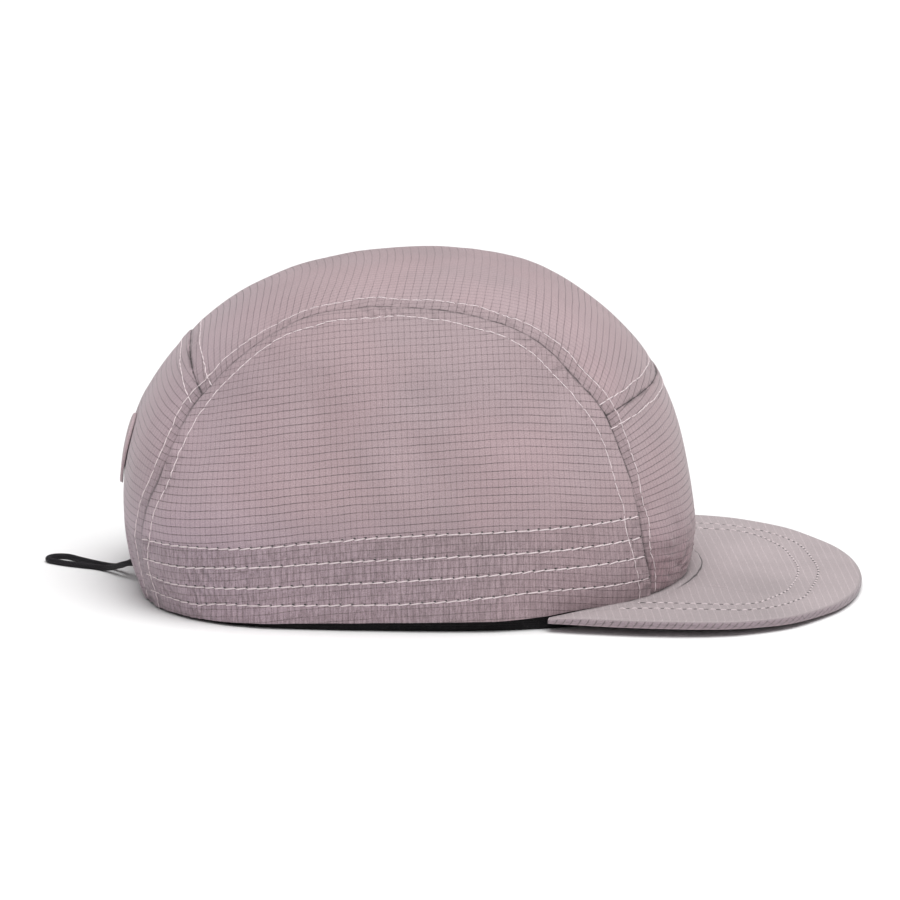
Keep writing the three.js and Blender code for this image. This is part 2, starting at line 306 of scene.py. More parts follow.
def crown_point(angle, y):
    angle, y = np.broadcast_arrays(np.asarray(angle, float), np.asarray(y, float))
    full = read(CROWN, 2, angle)
    reach = read(CROWN, 1, angle) * (1 - (np.abs(y) / HALF_WIDTH) ** full) ** (1 / full)
    turn = np.radians(angle)
    return np.stack((AXIS_X + reach * np.cos(turn), y, AXIS_Z + reach * np.sin(turn)), axis=-1)


def crown_side(x, z, side):
    """The crown on one side, over places in the centre plane"""
    share, full = reach_share(np.stack((x, 0 * x, z), axis=-1))
    y = HALF_WIDTH * np.clip(1 - share**full, 0, 1) ** (1 / full)
    return np.stack((x, side * y, z), axis=-1)


def halve(low, high, past):
    """The values between two limits at which a test turns true"""
    for _ in range(40):
        middle = (low + high) / 2
        low, high = np.where(past(middle), (low, middle), (middle, high))
    return (low + high) / 2


def crown_plan(heading, height, inset=0.0):
    """The crown at headings and heights, moved in level by an inset"""
    turn = np.radians(heading)

    def ray(distance):
        return np.stack((AXIS_X + distance * np.cos(turn), distance * np.sin(turn), height), axis=-1)

    points = ray(halve(0 * turn + 10, 0 * turn + 140, lambda distance: crown_level(ray(distance)) > 0))
    return points - unit(crown_normal(points) * (1, 1, 0)) * np.asarray(inset)[..., None]


def hem_height(heading):
    return read(HEM, 1, np.abs(heading))


def long_half(angle):
    return read(LONG_SEAM, 1, angle)


def cross_angle(cross, y):
    return cross[0] + cross[1] * (y / cross[2]) ** 2


def foot_angle(across, start, end):
    """The angle at which lines down the front or back of the crown meet the hem"""
    def past(angle):
        point = crown_point(angle, across * long_half(angle))
        return point[..., 2] <= hem_height(heading_of(point))

    return halve(0 * across + start, 0 * across + end, past)


def front_foot(across):
    return foot_angle(across, 0, -40)


def back_foot(across):
    return foot_angle(across, 180, 215)


# Lines on the crown

class Line:
    """A line of places in space, which knows its own length"""

    def __init__(self, points):
        self.points = points
        self.steps = run_lengths(points)
        self.length = self.steps[-1]

    def at(self, lengths):
        return np.stack([np.interp(lengths, self.steps, column) for column in self.points.T], axis=-1)

    def heading(self, lengths, reach=0.4):
        return unit(self.at(lengths + reach) - self.at(lengths - reach))

    def near(self, points, batch=4000):
        """Distance of places to the line, and how far along it the nearest place lies"""
        found = np.empty((2, len(points)))
        for start in range(0, len(points), batch):
            part = points[start:start + batch]
            nearest = np.argmin((self.points**2).sum(1) - 2 * part @ self.points.T, axis=1)
            tries = []
            for shift in (-1, 0):
                i = np.clip(nearest + shift, 0, len(self.points) - 2)
                a, way = self.points[i], self.points[i + 1] - self.points[i]
                t = np.clip(((part - a) * way).sum(1) / (way**2).sum(1), 0, 1)
                gap = np.linalg.norm(part - a - way * t[:, None], axis=1)
                tries.append((gap, self.steps[i] + t * (self.steps[i + 1] - self.steps[i])))
            found[:, start:start + batch] = np.where(tries[0][0] <= tries[1][0], *tries)
        return found

    def beside(self, offset_at):
        """A line on the crown to the left of this one, seen from outside, at a distance for each place"""
        lengths = np.linspace(0, self.length, int(self.length / 0.5))
        points = self.at(lengths)
        left = np.cross(crown_normal(points), self.heading(lengths))
        return Line(onto_crown(points + left * offset_at(points)[:, None]))


FRONT_FOOT, BACK_FOOT = (float(foot(np.array([1.0]))[0]) for foot in (front_foot, back_foot))


def long_line(side):
    angle = np.linspace(FRONT_FOOT, BACK_FOOT, 900)
    return Line(crown_point(angle, side * long_half(angle)))


def cross_line(cross):
    half = float(long_half(cross[0]))
    y = np.linspace(-half, half, 300)
    return Line(crown_point(cross_angle(cross, y), y))


LONG = {side: long_line(side) for side in (-1, 1)}
FRONT_LINE = cross_line(FRONT_CROSS)
BACK_LINE = cross_line(BACK_CROSS)

# Rows of topstitching beside the long seams: angle, distance on the middle and side panels
SEAM_ROWS = np.array((
    (-17, 3.2, 6.5), (-5, 3.8, 6.4), (7, 3.8, 7.2), (16, 4.6, 6.7), (30, 5.8, 6.3), (45, 5.8, 6.3),
    (62, 5.2, 5.9), (85, 4.8, 5.7), (105, 4.8, 5.9), (120, 4.7, 6.4), (132, 5.3, 4.9), (150, 5.2, 5.2),
    (165, 4.4, 4.8), (178, 4.8, 5.4), (190, 5.4, 4.9), (200, 5.8, 5.2),
))
MIDDLE, SIDE = 1, 2
CROSS_ROW = 4.7

# Four rows round the hem of each side panel: place along the cap, height
HEM_ROWS = [np.array(rows, float) for rows in (
    ((-121, 25.9), (-110, 26.5), (-101, 27.2), (-87, 28.3), (-31, 34.3), (52, 36.4)),
    ((-121, 18.7), (-107, 19.3), (-93, 21), (-31, 26.2), (54, 29.1)),
    ((-120, 12.8), (-111, 12.2), (-93, 13.7), (-31, 18.3), (17, 21.3), (54, 22.4)),
    ((-119, 6.5), (-102, 6.1), (-93, 7.7), (-31, 10.1), (17, 13.7), (55, 14.3)),
)]


def hem_row(rows, side):
    x = np.linspace(-121, 58, 500)
    points = crown_side(x, read(rows, 1, x), side)
    inside = (np.abs(points[:, 1]) > long_half(angle_of(points))) & (LONG[side].near(points)[0] > 0.6)
    return Line(points[inside])


HEM_LINES = {side: [hem_row(rows, side) for rows in HEM_ROWS] for side in (-1, 1)}


def seam_row(points, panel):
    """Distance of the row of stitches from the long seam, near each place"""
    return read(SEAM_ROWS, panel, angle_of(points))


# How the cloth stands off that form

# Size, depth and seed of the crown's soft dents
DENTS = ((46, 0.38, 3), (19, 0.14, 4), (6.5, 0.04, 5))
# Depth of the fold in a long seam, how much of it is lost low down, and the puckers beside it
FOLD_DEPTH = 0.42
FOLD_LOST = 0.28
PUCKER_DEPTH = 0.2
PUCKER_PITCH = 4.3
# Width of the painted shadow line in a seam, on its upper and on its lower cloth
UPPER_LINE = 0.75
LOWER_LINE = 0.3
CROSS_LINE = 0.3
# A place with no seam near it, the front's heading as far as the peak's corner, the height of its hem
FAR = 50
FRONT_HEADING = 52
FRONT_HEM = 8.2
# How far the front panel stands out over the peak
FRONT_SWELL = 0.9
# Height to which the dark band inside shows through the thin cloth of the front and back panels
BAND_SHOWS = 27
GATHER_TOP = 36
GATHER_PITCH = 9.2


def waves(points, size, seed, count=28):
    """Smooth random waves of about a given size"""
    draw = np.random.default_rng(seed)
    turn = unit(draw.normal(size=(count, 3))) * (2 * math.pi / size) * draw.uniform(0.6, 1.4, (count, 1))
    return np.sin(points @ turn.T + draw.uniform(0, 2 * math.pi, count)).sum(-1) / math.sqrt(count / 2)


def cycle(place, pitch, start=0):
    return np.sin(2 * math.pi * place / pitch + start)


def ridge(distance, width):
    return np.exp(-((distance / width) ** 2))


def lit(folds, hollow, crest=0.0, most=1.0):
    """Painted shade of folds: darker in their hollows, lighter on their crests"""
    return 1 - hollow * np.clip(-folds, 0, most) + crest * np.clip(folds, 0, most)


def fold_down(gap, row, depth):
    """The upper cloth at a seam: it runs down to the seam from its row of stitches"""
    return -depth * (1 - ramp(0, row + 0.9, gap)) - 0.14 * ridge(gap - row, 0.45)


def pad_up(gap, row, depth):
    """The lower cloth at a seam: padded up as far as its row of stitches, sharply down at the seam"""
    pad = ramp(0.05, 0.7, gap) * (1 - ramp(row - 0.5, row + 2.2, gap))
    return 0.34 * pad - 0.22 * ridge(gap - row, 0.45) - depth * (1 - ramp(0, 0.4, gap))


def seam_puckers(points, gap, along, row, seed):
    """Small folds across the strip between a seam and its stitches, from -1 to 1"""
    window = ramp(0.2, 1.2, gap) * (1 - ramp(row + 0.3, row + 3.5, gap))
    strength = np.clip(0.4 + 0.6 * waves(points, 18, seed + 1), 0, 1.5)
    turn = 2 * math.pi * along / PUCKER_PITCH + 2.6 * waves(points, 9, seed)
    return window * strength * (0.7 * np.sin(turn) + 0.3 * np.sin(2.1 * turn))


def seam_shade(points, gap, row, strip, seed):
    """Painted shade, darker towards the seam and in places more than others; darker too over the doubled
    cloth beside it, partly its own tone and partly painted shade of its slope
    """
    deep = np.clip(0.28 + 0.2 * waves(points, 13, seed) + 0.08 * waves(points, 3, seed + 1), 0.05, 0.5)
    doubled = 1 - strip * (1 - ramp(row - 0.2, row + 0.3, gap))
    return (1 - deep * (1 - ramp(0.3, 1.3, gap))) * doubled


def seam_fade(points):
    """How far a long seam has faded on its way down, sooner at the back"""
    return ramp(60, 24, points[..., 2] - 24 * ramp(-40, -70, points[..., 0]))


def soft_dents(points):
    """Large dents, least along the top, where the cap's outline is smooth"""
    calm = 0.3 + 0.7 * ramp(18, 48, np.abs(points[..., 1]))
    return calm * sum(depth * waves(points, size, seed) for size, depth, seed in DENTS)


def back_gathers(points):
    """Folds up the back from its drawn-in hem"""
    x, y, z = points.T
    behind = ramp(-96, -108, x) * (1 - ramp(30, 41, np.abs(y)))
    across = np.abs(y) + 1.6 * waves(points * (1, 1, 0.35), 17, 31)
    broad = ramp(GATHER_TOP, 4, z) * cycle(across, GATHER_PITCH)
    fine = ramp(22, 0, z) * cycle(y + 1.2 * waves(points * (1, 1, 0.5), 9, 32), 4.1)
    return behind * (0.62 * broad * ramp(3, 8, np.abs(y)) + 0.24 * fine)


def front_gloom(x, z):
    """Where the front panel turns in to the peak, which is given painted shade and a redder tint"""
    return ramp(46, 60, x) * ramp(40, 12, z)


def front_wrinkles(points):
    """Level wrinkles low on the front panel, where it is drawn in to the peak"""
    x, _, z = points.T
    low = ramp(34, 20, z) * ramp(7.5, 12, z) * ramp(38, 50, x)
    height = z + 1.5 * waves(points * (0.6, 0.6, 1), 13, 35)
    folds = cycle(height, 4.6) + 0.6 * cycle(height, 2.7, 1)
    return 0.26 * low * np.clip(0.5 + 0.6 * waves(points, 12, 36), 0, 1.3) * folds


def strip_relief(points):
    """Raise, shade, puckering and lines of the front, top and back panels"""
    x, y, z = points.T
    raised, shade, clear = soft_dents(points), 1.0, 1.0
    heading, angle = heading_of(points), angle_of(points)
    # distance to the painted shadow lines along the front's lower edge over the peak and in the seams
    near = np.where(np.abs(heading) < FRONT_HEADING, (z - hem_height(heading)) / CROSS_LINE, FAR)
    row, fade = seam_row(points, MIDDLE), seam_fade(points)
    swell = FRONT_SWELL * ridge(z - 24, 13) * ramp(44, 56, x)
    for side in (-1, 1):
        gap, along = LONG[side].near(points)
        puckers = seam_puckers(points, gap, along, row, 11 + side)
        raised += fold_down(gap, row, FOLD_DEPTH - FOLD_LOST * fade) + PUCKER_DEPTH * puckers
        # painted shade in the long seam and in the hollows of its puckers
        shade *= seam_shade(points, gap, row, 0.11, 13) * lit(puckers, 0.2)
        clear *= ramp(0, 2, gap)
        swell *= ramp(0, 12, gap)
        near = np.minimum(near, gap / UPPER_LINE + 1.6 * fade)
    for line, cross, seed in ((FRONT_LINE, FRONT_CROSS, 21), (BACK_LINE, BACK_CROSS, 25)):
        gap, along = line.near(points)
        beyond = angle - cross_angle(cross, y)
        on_top = beyond > 0 if cross is FRONT_CROSS else beyond < 0
        puckers = seam_puckers(points, gap, along, CROSS_ROW, seed)
        fold = np.where(on_top, fold_down(gap, CROSS_ROW, 0.14), pad_up(gap, CROSS_ROW, 0.12))
        raised += clear * (fold + 0.1 * puckers)
        strip = np.where(on_top, 0.07, 0.04)
        # painted shade in the cross seam and in the hollows of its puckers
        shade *= seam_shade(points, gap, CROSS_ROW, strip, seed + 2) * lit(puckers, 0.12)
        near = np.minimum(near, gap / CROSS_LINE)
    gathers, wrinkles = back_gathers(points), front_wrinkles(points)
    raised += gathers + wrinkles + swell
    over_band, gloom = ramp(1, -1.5, z - BAND_SHOWS), front_gloom(x, z)
    # darker where the band shows through; painted shade in the hollows of the gathers and the wrinkles
    shade *= (1 - 0.1 * over_band) * lit(gathers, 0.3, most=0.8) * lit(wrinkles, 0.9, most=0.4)
    # painted shade low on the front where it turns in to the peak, and a painted shadow line along its lower
    # edge over the peak
    shade *= (1 - 0.08 * gloom) * (1 - 0.55 * ramp(1.1, 0.2, z - FRONT_HEM) * ramp(30, 44, x))
    # below nought low on the front over the peak, where the puckered cloth gets a redder painted shade rather
    # than grey
    puckered = np.where(x > 0, -0.8 * gloom, 0.5 * over_band)
    strength = 0.92 + 0.3 * ramp(30, 50, x) * ramp(96, 82, z)
    strength -= 0.4 * ramp(103, 114, z) + 0.12 * ramp(-20, 0, x) * ramp(30, 10, x)
    # the first mark is the distance to the painted shadow lines, the second how strong the grid's lines are
    return raised, shade, puckered, pair(near, strength)


def between_rows(x, z):
    """From 0 on the rows of stitches round the hem to 1 between them, for each place"""
    tops = [read(rows, 1, x) for rows in HEM_ROWS]
    window = 0.4 * ramp(8, 0, z - tops[0]) * (z > tops[0])
    for upper, lower, share in zip(tops, (*tops[1:], 0 * z), (0.5, 0.85, 1.0, 0.8)):
        window += share * np.sin(math.pi * np.clip((z - lower) / (upper - lower), 0, 1)) ** 0.6
    return window


def hem_puckers(points, side):
    """Folds down between the rows of stitches round the hem, strongest at the back, from -1 to 1"""
    x, _, z = points.T
    rear, front = ramp(-62, -95, x), ramp(26, 46, x)
    slant = x + 0.5 * rear * (z - 14) - 0.1 * (1 - rear) * z
    slant += 0.6 * waves(points * (1, 1, 0.45), 9, 41 + side)
    folds = 0.55 * cycle(slant, 2.45) + 0.35 * cycle(slant, 4.1, 1) + 0.25 * cycle(slant, 1.75, 2)
    patchy = np.clip(0.55 + 0.5 * waves(points * (1, 1, 0.6), 12, 51 + side), 0.1, 1.4)
    return between_rows(x, z) * (0.4 + rear + 0.25 * front) * patchy * folds


def side_relief(points, side):
    """Raise, shade, puckering and lines of a side panel, which bellies out over its uppermost hem row"""
    x, _, z = points.T
    gap, along = LONG[side].near(points)
    row, fade, calm = seam_row(points, SIDE), seam_fade(points), ramp(0.5, 2.5, gap)
    at_seam = seam_puckers(points, gap, along, row, 15 + side)
    at_hem = calm * hem_puckers(points, side)
    above = z - read(HEM_ROWS[0], 1, x)
    belly = ramp(-1, 11, above) * (1 - ramp(11, 34, above)) * (1.15 - 0.55 * ramp(-30, 20, x))
    raised = soft_dents(points) + pad_up(gap, row, FOLD_DEPTH - FOLD_LOST * fade)
    raised += ramp(2, 12, gap) * belly * (1 + 0.3 * waves(points, 30, 5))
    raised += PUCKER_DEPTH * at_seam + 0.26 * at_hem
    for line in HEM_LINES[side]:
        raised -= calm * 0.22 * ridge(line.near(points)[0], 0.55)
    # painted shade towards the seam; darker below the uppermost hem row, where the band shows through
    shade = seam_shade(points, gap, row, 0, 17) * (1 - 0.07 * ramp(3, -1, above))
    # painted shade in the hollows of the puckers and painted light on their crests; painted shade high on the
    # panel
    shade *= lit(at_seam, 0.2, 0.05) * lit(at_hem, 0.3, 0.1) * (1 - 0.12 * ramp(66, 90, z))
    # puckering below the uppermost hem row, which the cloth's finish turns into painted shade in its creases
    puckered = ramp(2, -2, above) * (0.82 + 0.06 * ramp(-66, -104, x)) * (1 - 0.4 * ramp(0, 50, x))
    # the first mark is the distance to the painted shadow line of the long seam, the second how strong the
    # grid's lines are
    return raised, shade, puckered, pair(gap / LOWER_LINE + 1.4 * fade, 1 - 0.3 * ramp(74, 88, z))


# Meshes

# The lowest that any cloth lies, just over the table, and the wall of a drawn sheet
LOWEST = 0.03
SHEET_WALL = 0.7


@contextmanager
def editing(piece):
    """Edit mode on the whole of a piece"""
    bpy.ops.object.select_all(action="DESELECT")
    piece.select_set(True)
    bpy.context.view_layer.objects.active = piece
    bpy.ops.object.mode_set(mode="EDIT")
    bpy.ops.mesh.select_all(action="SELECT")
    yield
    bpy.ops.object.mode_set(mode="OBJECT")


def smooth(angle):
    """Smooth shading on the piece in hand, but for edges sharper than an angle"""
    bpy.ops.object.shade_smooth_by_angle(angle=math.radians(angle))


def start_piece(name, primitive, **settings):
    bpy.ops.object.select_all(action="DESELECT")
    primitive(**settings)
    piece = bpy.context.object
    piece.name = piece.data.name = name
    return piece


def grid_piece(name, across, along):
    """A flat grid, with the column and the row of each of its vertices"""
    piece = start_piece(
        name, bpy.ops.mesh.primitive_grid_add, x_subdivisions=across - 1, y_subdivisions=along - 1, size=2)
    share = (places_of(piece)[:, :2] * MM + 1) / 2 * (across - 1, along - 1)
    return piece, *np.rint(share).astype(int).T


def places_of(piece):
    """The places of a piece's vertices in millimetres, one to a row"""
    places = np.empty(len(piece.data.vertices) * 3)
    piece.data.vertices.foreach_get("co", places)
    return places.reshape(-1, 3) / MM


def set_uv(mesh, uv, name="cloth"):
    """Sets a map from one place per vertex"""
    layer = mesh.uv_layers.new(name=name)
    corners = np.empty(len(mesh.loops), dtype=np.int32)
    mesh.loops.foreach_get("vertex_index", corners)
    layer.uv.foreach_set("vector", uv[corners].astype(np.float32).ravel())
    layer.active_render = True
    mesh.uv_layers.active = layer


def form(piece, places, outward=None, **maps):
    """Moves a piece's vertices, turns its faces round if they point inward, and gives it its maps"""
    mesh = piece.data
    mesh.vertices.foreach_set("co", (places * MM).ravel())
    mesh.update()
    if outward is not None:
        if sum(face.normal.dot(Vector(outward[face.vertices[0]])) for face in mesh.polygons) < 0:
            mesh.flip_normals()
    while mesh.uv_layers:
        mesh.uv_layers.remove(mesh.uv_layers[0])
    for name, uv in maps.items():
        set_uv(mesh, uv, name)


def give_wall(piece, thick):
    """Gives a sheet a thin wall on its inner side"""
    wall = piece.modifiers.new("wall", "SOLIDIFY")
    wall.thickness = thick * MM
    wall.offset = -1
    bpy.ops.object.modifier_apply(modifier=wall.name)


def above_table(places):
    return np.maximum(places, (-math.inf, -math.inf, LOWEST))


def cloth_sheet(name, node, rows, columns, place_at, relief_at, uv_at):
    """A sheet of cloth: a flat grid laid on the crown, raised along its normal and given a thin wall"""
    piece, i, j = grid_piece(name, len(columns), len(rows))
    places = place_at(rows[j], columns[i])
    normals = crown_normal(places)
    raised, shade, puckered, marks = relief_at(places)
    lifted = above_table(places + normals * raised[:, None])
    form(piece, lifted, normals, tone=pair(shade, puckered), marks=marks, cloth=uv_at(places))
    give_wall(piece, SHEET_WALL)
    piece.data.vertices.foreach_set("co", (above_table(places_of(piece)) * MM).ravel())
    smooth(60)
    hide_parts(node)
    return piece


def tube(name, rings, uv):
    """A piece rolled up from rings that end where they start, closed at its ends"""
    piece, j, i = grid_piece(name, rings.shape[1], rings.shape[0])
    form(piece, rings[i, j], cloth=uv[i, j])
    with editing(piece):
        bpy.ops.mesh.remove_doubles(threshold=0.001 * MM)
        bpy.ops.mesh.fill_holes(sides=0)
        bpy.ops.mesh.normals_make_consistent(inside=False)
    return piece


def stations(length, step, start=False, end=False, fine=0.28, reach=2.2):
    """Parts of a length from 0 to 1, closer together near an end that meets a seam"""
    low, high = (reach if start else 0), (length - reach if end else length)
    marks = [np.linspace(low, high, max(3, int((high - low) / step)) + 1)]
    if start:
        marks.append(np.arange(0, reach, fine))
    if end:
        marks.append(np.append(np.arange(length - reach + fine, length, fine), length))
    return np.unique(np.round(np.concatenate(marks) / length, 6))


# The crown's panels

# How far each panel stops short of a long seam, and of a cross seam in degrees
SEAM_SHORT = 0.05
CROSS_SHORT = 0.03
# Angle, how far the lines across each middle panel lean back beside the long seams
FRONT_LEAN = np.array(((-40, 0.05), (0, 0.02), (30, -0.04)))
TOP_LEAN = np.array(((20, -0.32), (30, -0.32), (50, -0.26), (72, 0), (95, 0.2), (120, 0.42), (155, 0.42)))
BACK_LEAN = np.array(((140, 0.06), (215, 0.04)))


def strip_uv(points, lean):
    """Cloth laid round the crown from front to back: across it, and along its centre line"""
    angle, y = angle_of(points), points[:, 1]
    fine = np.arange(-60.0, 241.0, 0.5)
    along = np.cumsum(read(CROWN, 1, fine)) * math.radians(0.5)
    width = np.linspace(0, 80, 161)
    across = run_lengths(pair(width, (1 - (width / HALF_WIDTH) ** 2.4) ** (1 / 2.4) * 90))
    u = np.sign(y) * np.interp(np.abs(y), width, across)
    return pair(u, np.interp(angle, fine, along) - read(lean, 1, angle) * y**2 / 90)


SIDE_X = np.arange(-128.0, 66.0, 1.0)
SIDE_Z = np.arange(-4.0, 114.0, 0.5)


def side_uv_tables():
    """Lengths along and up the cloth of a side panel, at places in the centre plane"""
    y = crown_side(*np.meshgrid(SIDE_X, SIDE_Z, indexing="ij"), 1)[..., 1]
    steep = np.clip(np.gradient(y, 0.5, axis=1), -2.2, 2.2)
    level = np.clip(np.gradient(y, 1.0, axis=0), -2.2, 2.2)
    up = np.cumsum(np.hypot(1, steep), axis=1) * 0.5
    along = np.cumsum(np.hypot(1, level), axis=0)
    return along - along[[int(AXIS_X - SIDE_X[0])]], up - up[:, [int((AXIS_Z - SIDE_Z[0]) * 2)]]


SIDE_ALONG, SIDE_UP = side_uv_tables()
# How far the weft of the side panels has climbed at a place along the cap
WEFT_CLIMB = np.array((
    (-125, 0), (-108, 1.2), (-88, 4.2), (-67, 7.6), (-46, 10.4), (-25, 12.2), (-4, 13.6), (10, 13.8),
    (28, 12.3), (58, 7.4)), float)
# Above this height the lines lie further apart
WEFT_EASE = 70


def side_uv(points):
    x, _, z = points.T
    i = np.clip(x - SIDE_X[0], 0, len(SIDE_X) - 1.001)
    j = np.clip((z - SIDE_Z[0]) * 2, 0, len(SIDE_Z) - 1.001)
    a, b = i.astype(int), j.astype(int)
    s, t = i - a, j - b

    def look(table):
        low = table[a, b] * (1 - t) + table[a, b + 1] * t
        high = table[a + 1, b] * (1 - t) + table[a + 1, b + 1] * t
        return low * (1 - s) + high * s

    eased = 0.0024 * np.clip(z - WEFT_EASE, 0, None) ** 2
    return pair(look(SIDE_ALONG), look(SIDE_UP) - eased - read(WEFT_CLIMB, 1, x))


def side_panel(side, word):
    """A side panel, spread in the centre plane between its hem and its long seam"""
    def seam(angle):
        return crown_point(angle, side * (long_half(angle) + SEAM_SHORT))[:, (0, 2)]

    back, front = (heading_of(crown_point(foot, long_half(foot))) for foot in (BACK_FOOT, FRONT_FOOT))

    def place_at(v, u):
        turn = back + (front - back) * u
        rise, fall = seam(BACK_FOOT + (180 - BACK_FOOT) * v), seam(FRONT_FOOT * (1 - v))
        foot, arch = crown_plan(turn, hem_height(turn))[:, (0, 2)], seam(180 * (1 - u))
        ends = seam(np.array([BACK_FOOT, FRONT_FOOT, 180, 0]))
        v, u = v[:, None], u[:, None]
        corners = (ends[0] * (1 - u) + ends[1] * u) * (1 - v) + (ends[2] * (1 - u) + ends[3] * u) * v
        spread = foot * (1 - v) + arch * v + rise * (1 - u) + fall * u - corners
        return crown_side(*spread.T, side)

    rows, columns = stations(104, 0.95, end=True), stations(178, 0.66, start=True, end=True)
    return cloth_sheet(
        "cloth_side_" + word, "side_panel_" + word, rows, columns, place_at,
        lambda p: side_relief(p, side), side_uv)


def middle_panel(word, rows, columns, start_at, end_at, lean):
    def place_at(v, u):
        across = 2 * u - 1
        angle = start_at(across) + (end_at(across) - start_at(across)) * v
        return crown_point(angle, across * (long_half(angle) - SEAM_SHORT))

    return cloth_sheet(
        "cloth_" + word, word + "_panel", rows, columns, place_at,
        strip_relief, lambda p: strip_uv(p, lean))


def cross_edge(cross, toward):
    """The angle of a panel's edge at a cross seam, on the side that the panel lies"""
    half = float(long_half(cross[0]))
    return lambda across: cross_angle(cross, across * half) + toward * CROSS_SHORT


def add_crown():
    across = stations(112, 0.85, start=True, end=True)
    top = middle_panel(
        "top", stations(182, 1.0, start=True, end=True), across,
        cross_edge(FRONT_CROSS, 1), cross_edge(BACK_CROSS, -1), TOP_LEAN)
    front = middle_panel(
        "front", stations(70, 0.85, start=True), across, cross_edge(FRONT_CROSS, -1), front_foot, FRONT_LEAN)
    back = middle_panel(
        "back", stations(88, 0.75, start=True), stations(112, 0.6, start=True, end=True),
        cross_edge(BACK_CROSS, 1), back_foot, BACK_LEAN)
    return [side_panel(-1, "right"), side_panel(1, "left"), top, front, back]


# Stitches

# The crown's thread, and the dark beads painted as the shadows of the needle holes beside it
LOCKED = {"pitch": 4.0, "fill": 1.05, "sink": 0.2, "width": 0.42, "thick": 0.4}
STITCH_LIFT = 0.1
HOLE_SHADOW_LIFT = 0.06
HOLE_SHADOW_THICK = 0.2
HOLE_SHADOW_MARK = 3


def one_stitch():
    """A thread's bow over the cloth, one unit long, its ends bent down into it"""
    piece = start_piece(
        "stitch", bpy.ops.mesh.primitive_uv_sphere_add, segments=6, ring_count=6, radius=0.5,
        rotation=(0, math.pi / 2, 0))
    bpy.ops.object.transform_apply(location=False, rotation=True, scale=False)
    places = places_of(piece) * MM
    faces = np.array([[*face.vertices, -1][:4] for face in piece.data.polygons])
    bpy.data.objects.remove(piece)
    full = np.sqrt(np.clip(1 - (2 * np.abs(places[:, 0])) ** 3.2, 0.02, 1))
    thin = np.sqrt(np.clip(1 - (2 * places[:, 0]) ** 2, 1e-6, 1))
    tip = np.abs(places[:, 0]) > 0.499
    places[:, 1:] *= np.where(tip, 0, full / thin)[:, None]
    return places, faces


STITCH, STITCH_FACES = one_stitch()


class Stitching:
    """Rows of stitches on the crown or the peak, joined in one piece"""

    def __init__(self, name, seed):
        self.name = name
        self.draw = np.random.default_rng(seed)
        self.places, self.uvs = [], []

    def beads(self, centre, ahead, aside, normal, size, lift_at, sink, mark):
        """One small rounded bead for each centre, laid on the cloth"""
        length, width, thick = size
        base = centre[:, None] + (STITCH[:, 0] * length[:, None])[..., None] * ahead[:, None]
        lift = lift_at(base.reshape(-1, 3)).reshape(base.shape[:2])
        lift = lift + STITCH_LIFT - sink * np.abs(2 * STITCH[:, 0]) ** 4
        place = base + (STITCH[:, 1] * width)[None, :, None] * aside[:, None]
        place = place + (STITCH[:, 2] * thick + lift)[..., None] * normal[:, None]
        self.places.append(place.reshape(-1, 3))
        self.uvs.append(np.tile(STITCH[:, :2] * 2 + (mark, 0), (len(centre), 1)))

    def row(self, line, normal_at, lift_at, pitch, width, thick, fill, slant=3, sink=0.3, lean=0, hole_shadow=None):
        """Stitches along a line, each leant a little across it; a hole shadow, a dark bead painted as the
        shadow of a needle hole, is a length, width and offset
        """
        count = int(line.length / pitch)
        pitch = line.length / count
        middle = (np.arange(count) + 0.5) * pitch + self.draw.normal(0, 0.04 * pitch, count)
        centre = line.at(middle)
        ahead = line.heading(middle, 0.45 * pitch)
        normal = normal_at(centre)
        aside = unit(np.cross(normal, ahead))
        turn = np.radians(self.draw.normal(0, slant, count) + lean)[:, None]
        turned = ahead * np.cos(turn) + aside * np.sin(turn), aside * np.cos(turn) - ahead * np.sin(turn)
        size = fill * pitch * self.draw.uniform(0.94, 1.04, count), width, thick
        self.beads(centre, *turned, normal, size, lift_at, sink, 0)
        if hole_shadow:
            reach, across, offset = hole_shadow
            place = centre + ahead * pitch / 2 + aside * (offset + self.draw.normal(0, 0.05, count))[:, None]
            size = reach * self.draw.uniform(0.7, 1.2, count), across, HOLE_SHADOW_THICK
            self.beads(
                place, ahead, aside, normal, size, lambda p: lift_at(p) + HOLE_SHADOW_LIFT - STITCH_LIFT, 0.02,
                HOLE_SHADOW_MARK)

    def finish(self, slot):
        places = above_table(np.concatenate(self.places))
        starts = np.arange(0, len(places), len(STITCH))
        shift = np.where(STITCH_FACES < 0, -len(places), starts[:, None, None])
        faces = (STITCH_FACES[None] + shift).reshape(-1, 4)
        mesh = bpy.data.meshes.new(self.name)
        mesh.from_pydata((places * MM).tolist(), [], [[v for v in face if v >= 0] for face in faces.tolist()])
        set_uv(mesh, np.concatenate(self.uvs))
        piece = bpy.data.objects.new(self.name, mesh)
        bpy.context.collection.objects.link(piece)
        mesh.shade_smooth()
        with editing(piece):
            bpy.ops.mesh.normals_make_consistent(inside=False)
        return piece


def strip_lift(points):
    return strip_relief(points)[0]


def seam_stitches(side, toward, panel):
    """A row beside a long seam, as unsteady as a hand at a machine"""
    return LONG[side].beside(lambda points: toward * (seam_row(points, panel) + 0.22 * waves(points, 18, 67)))


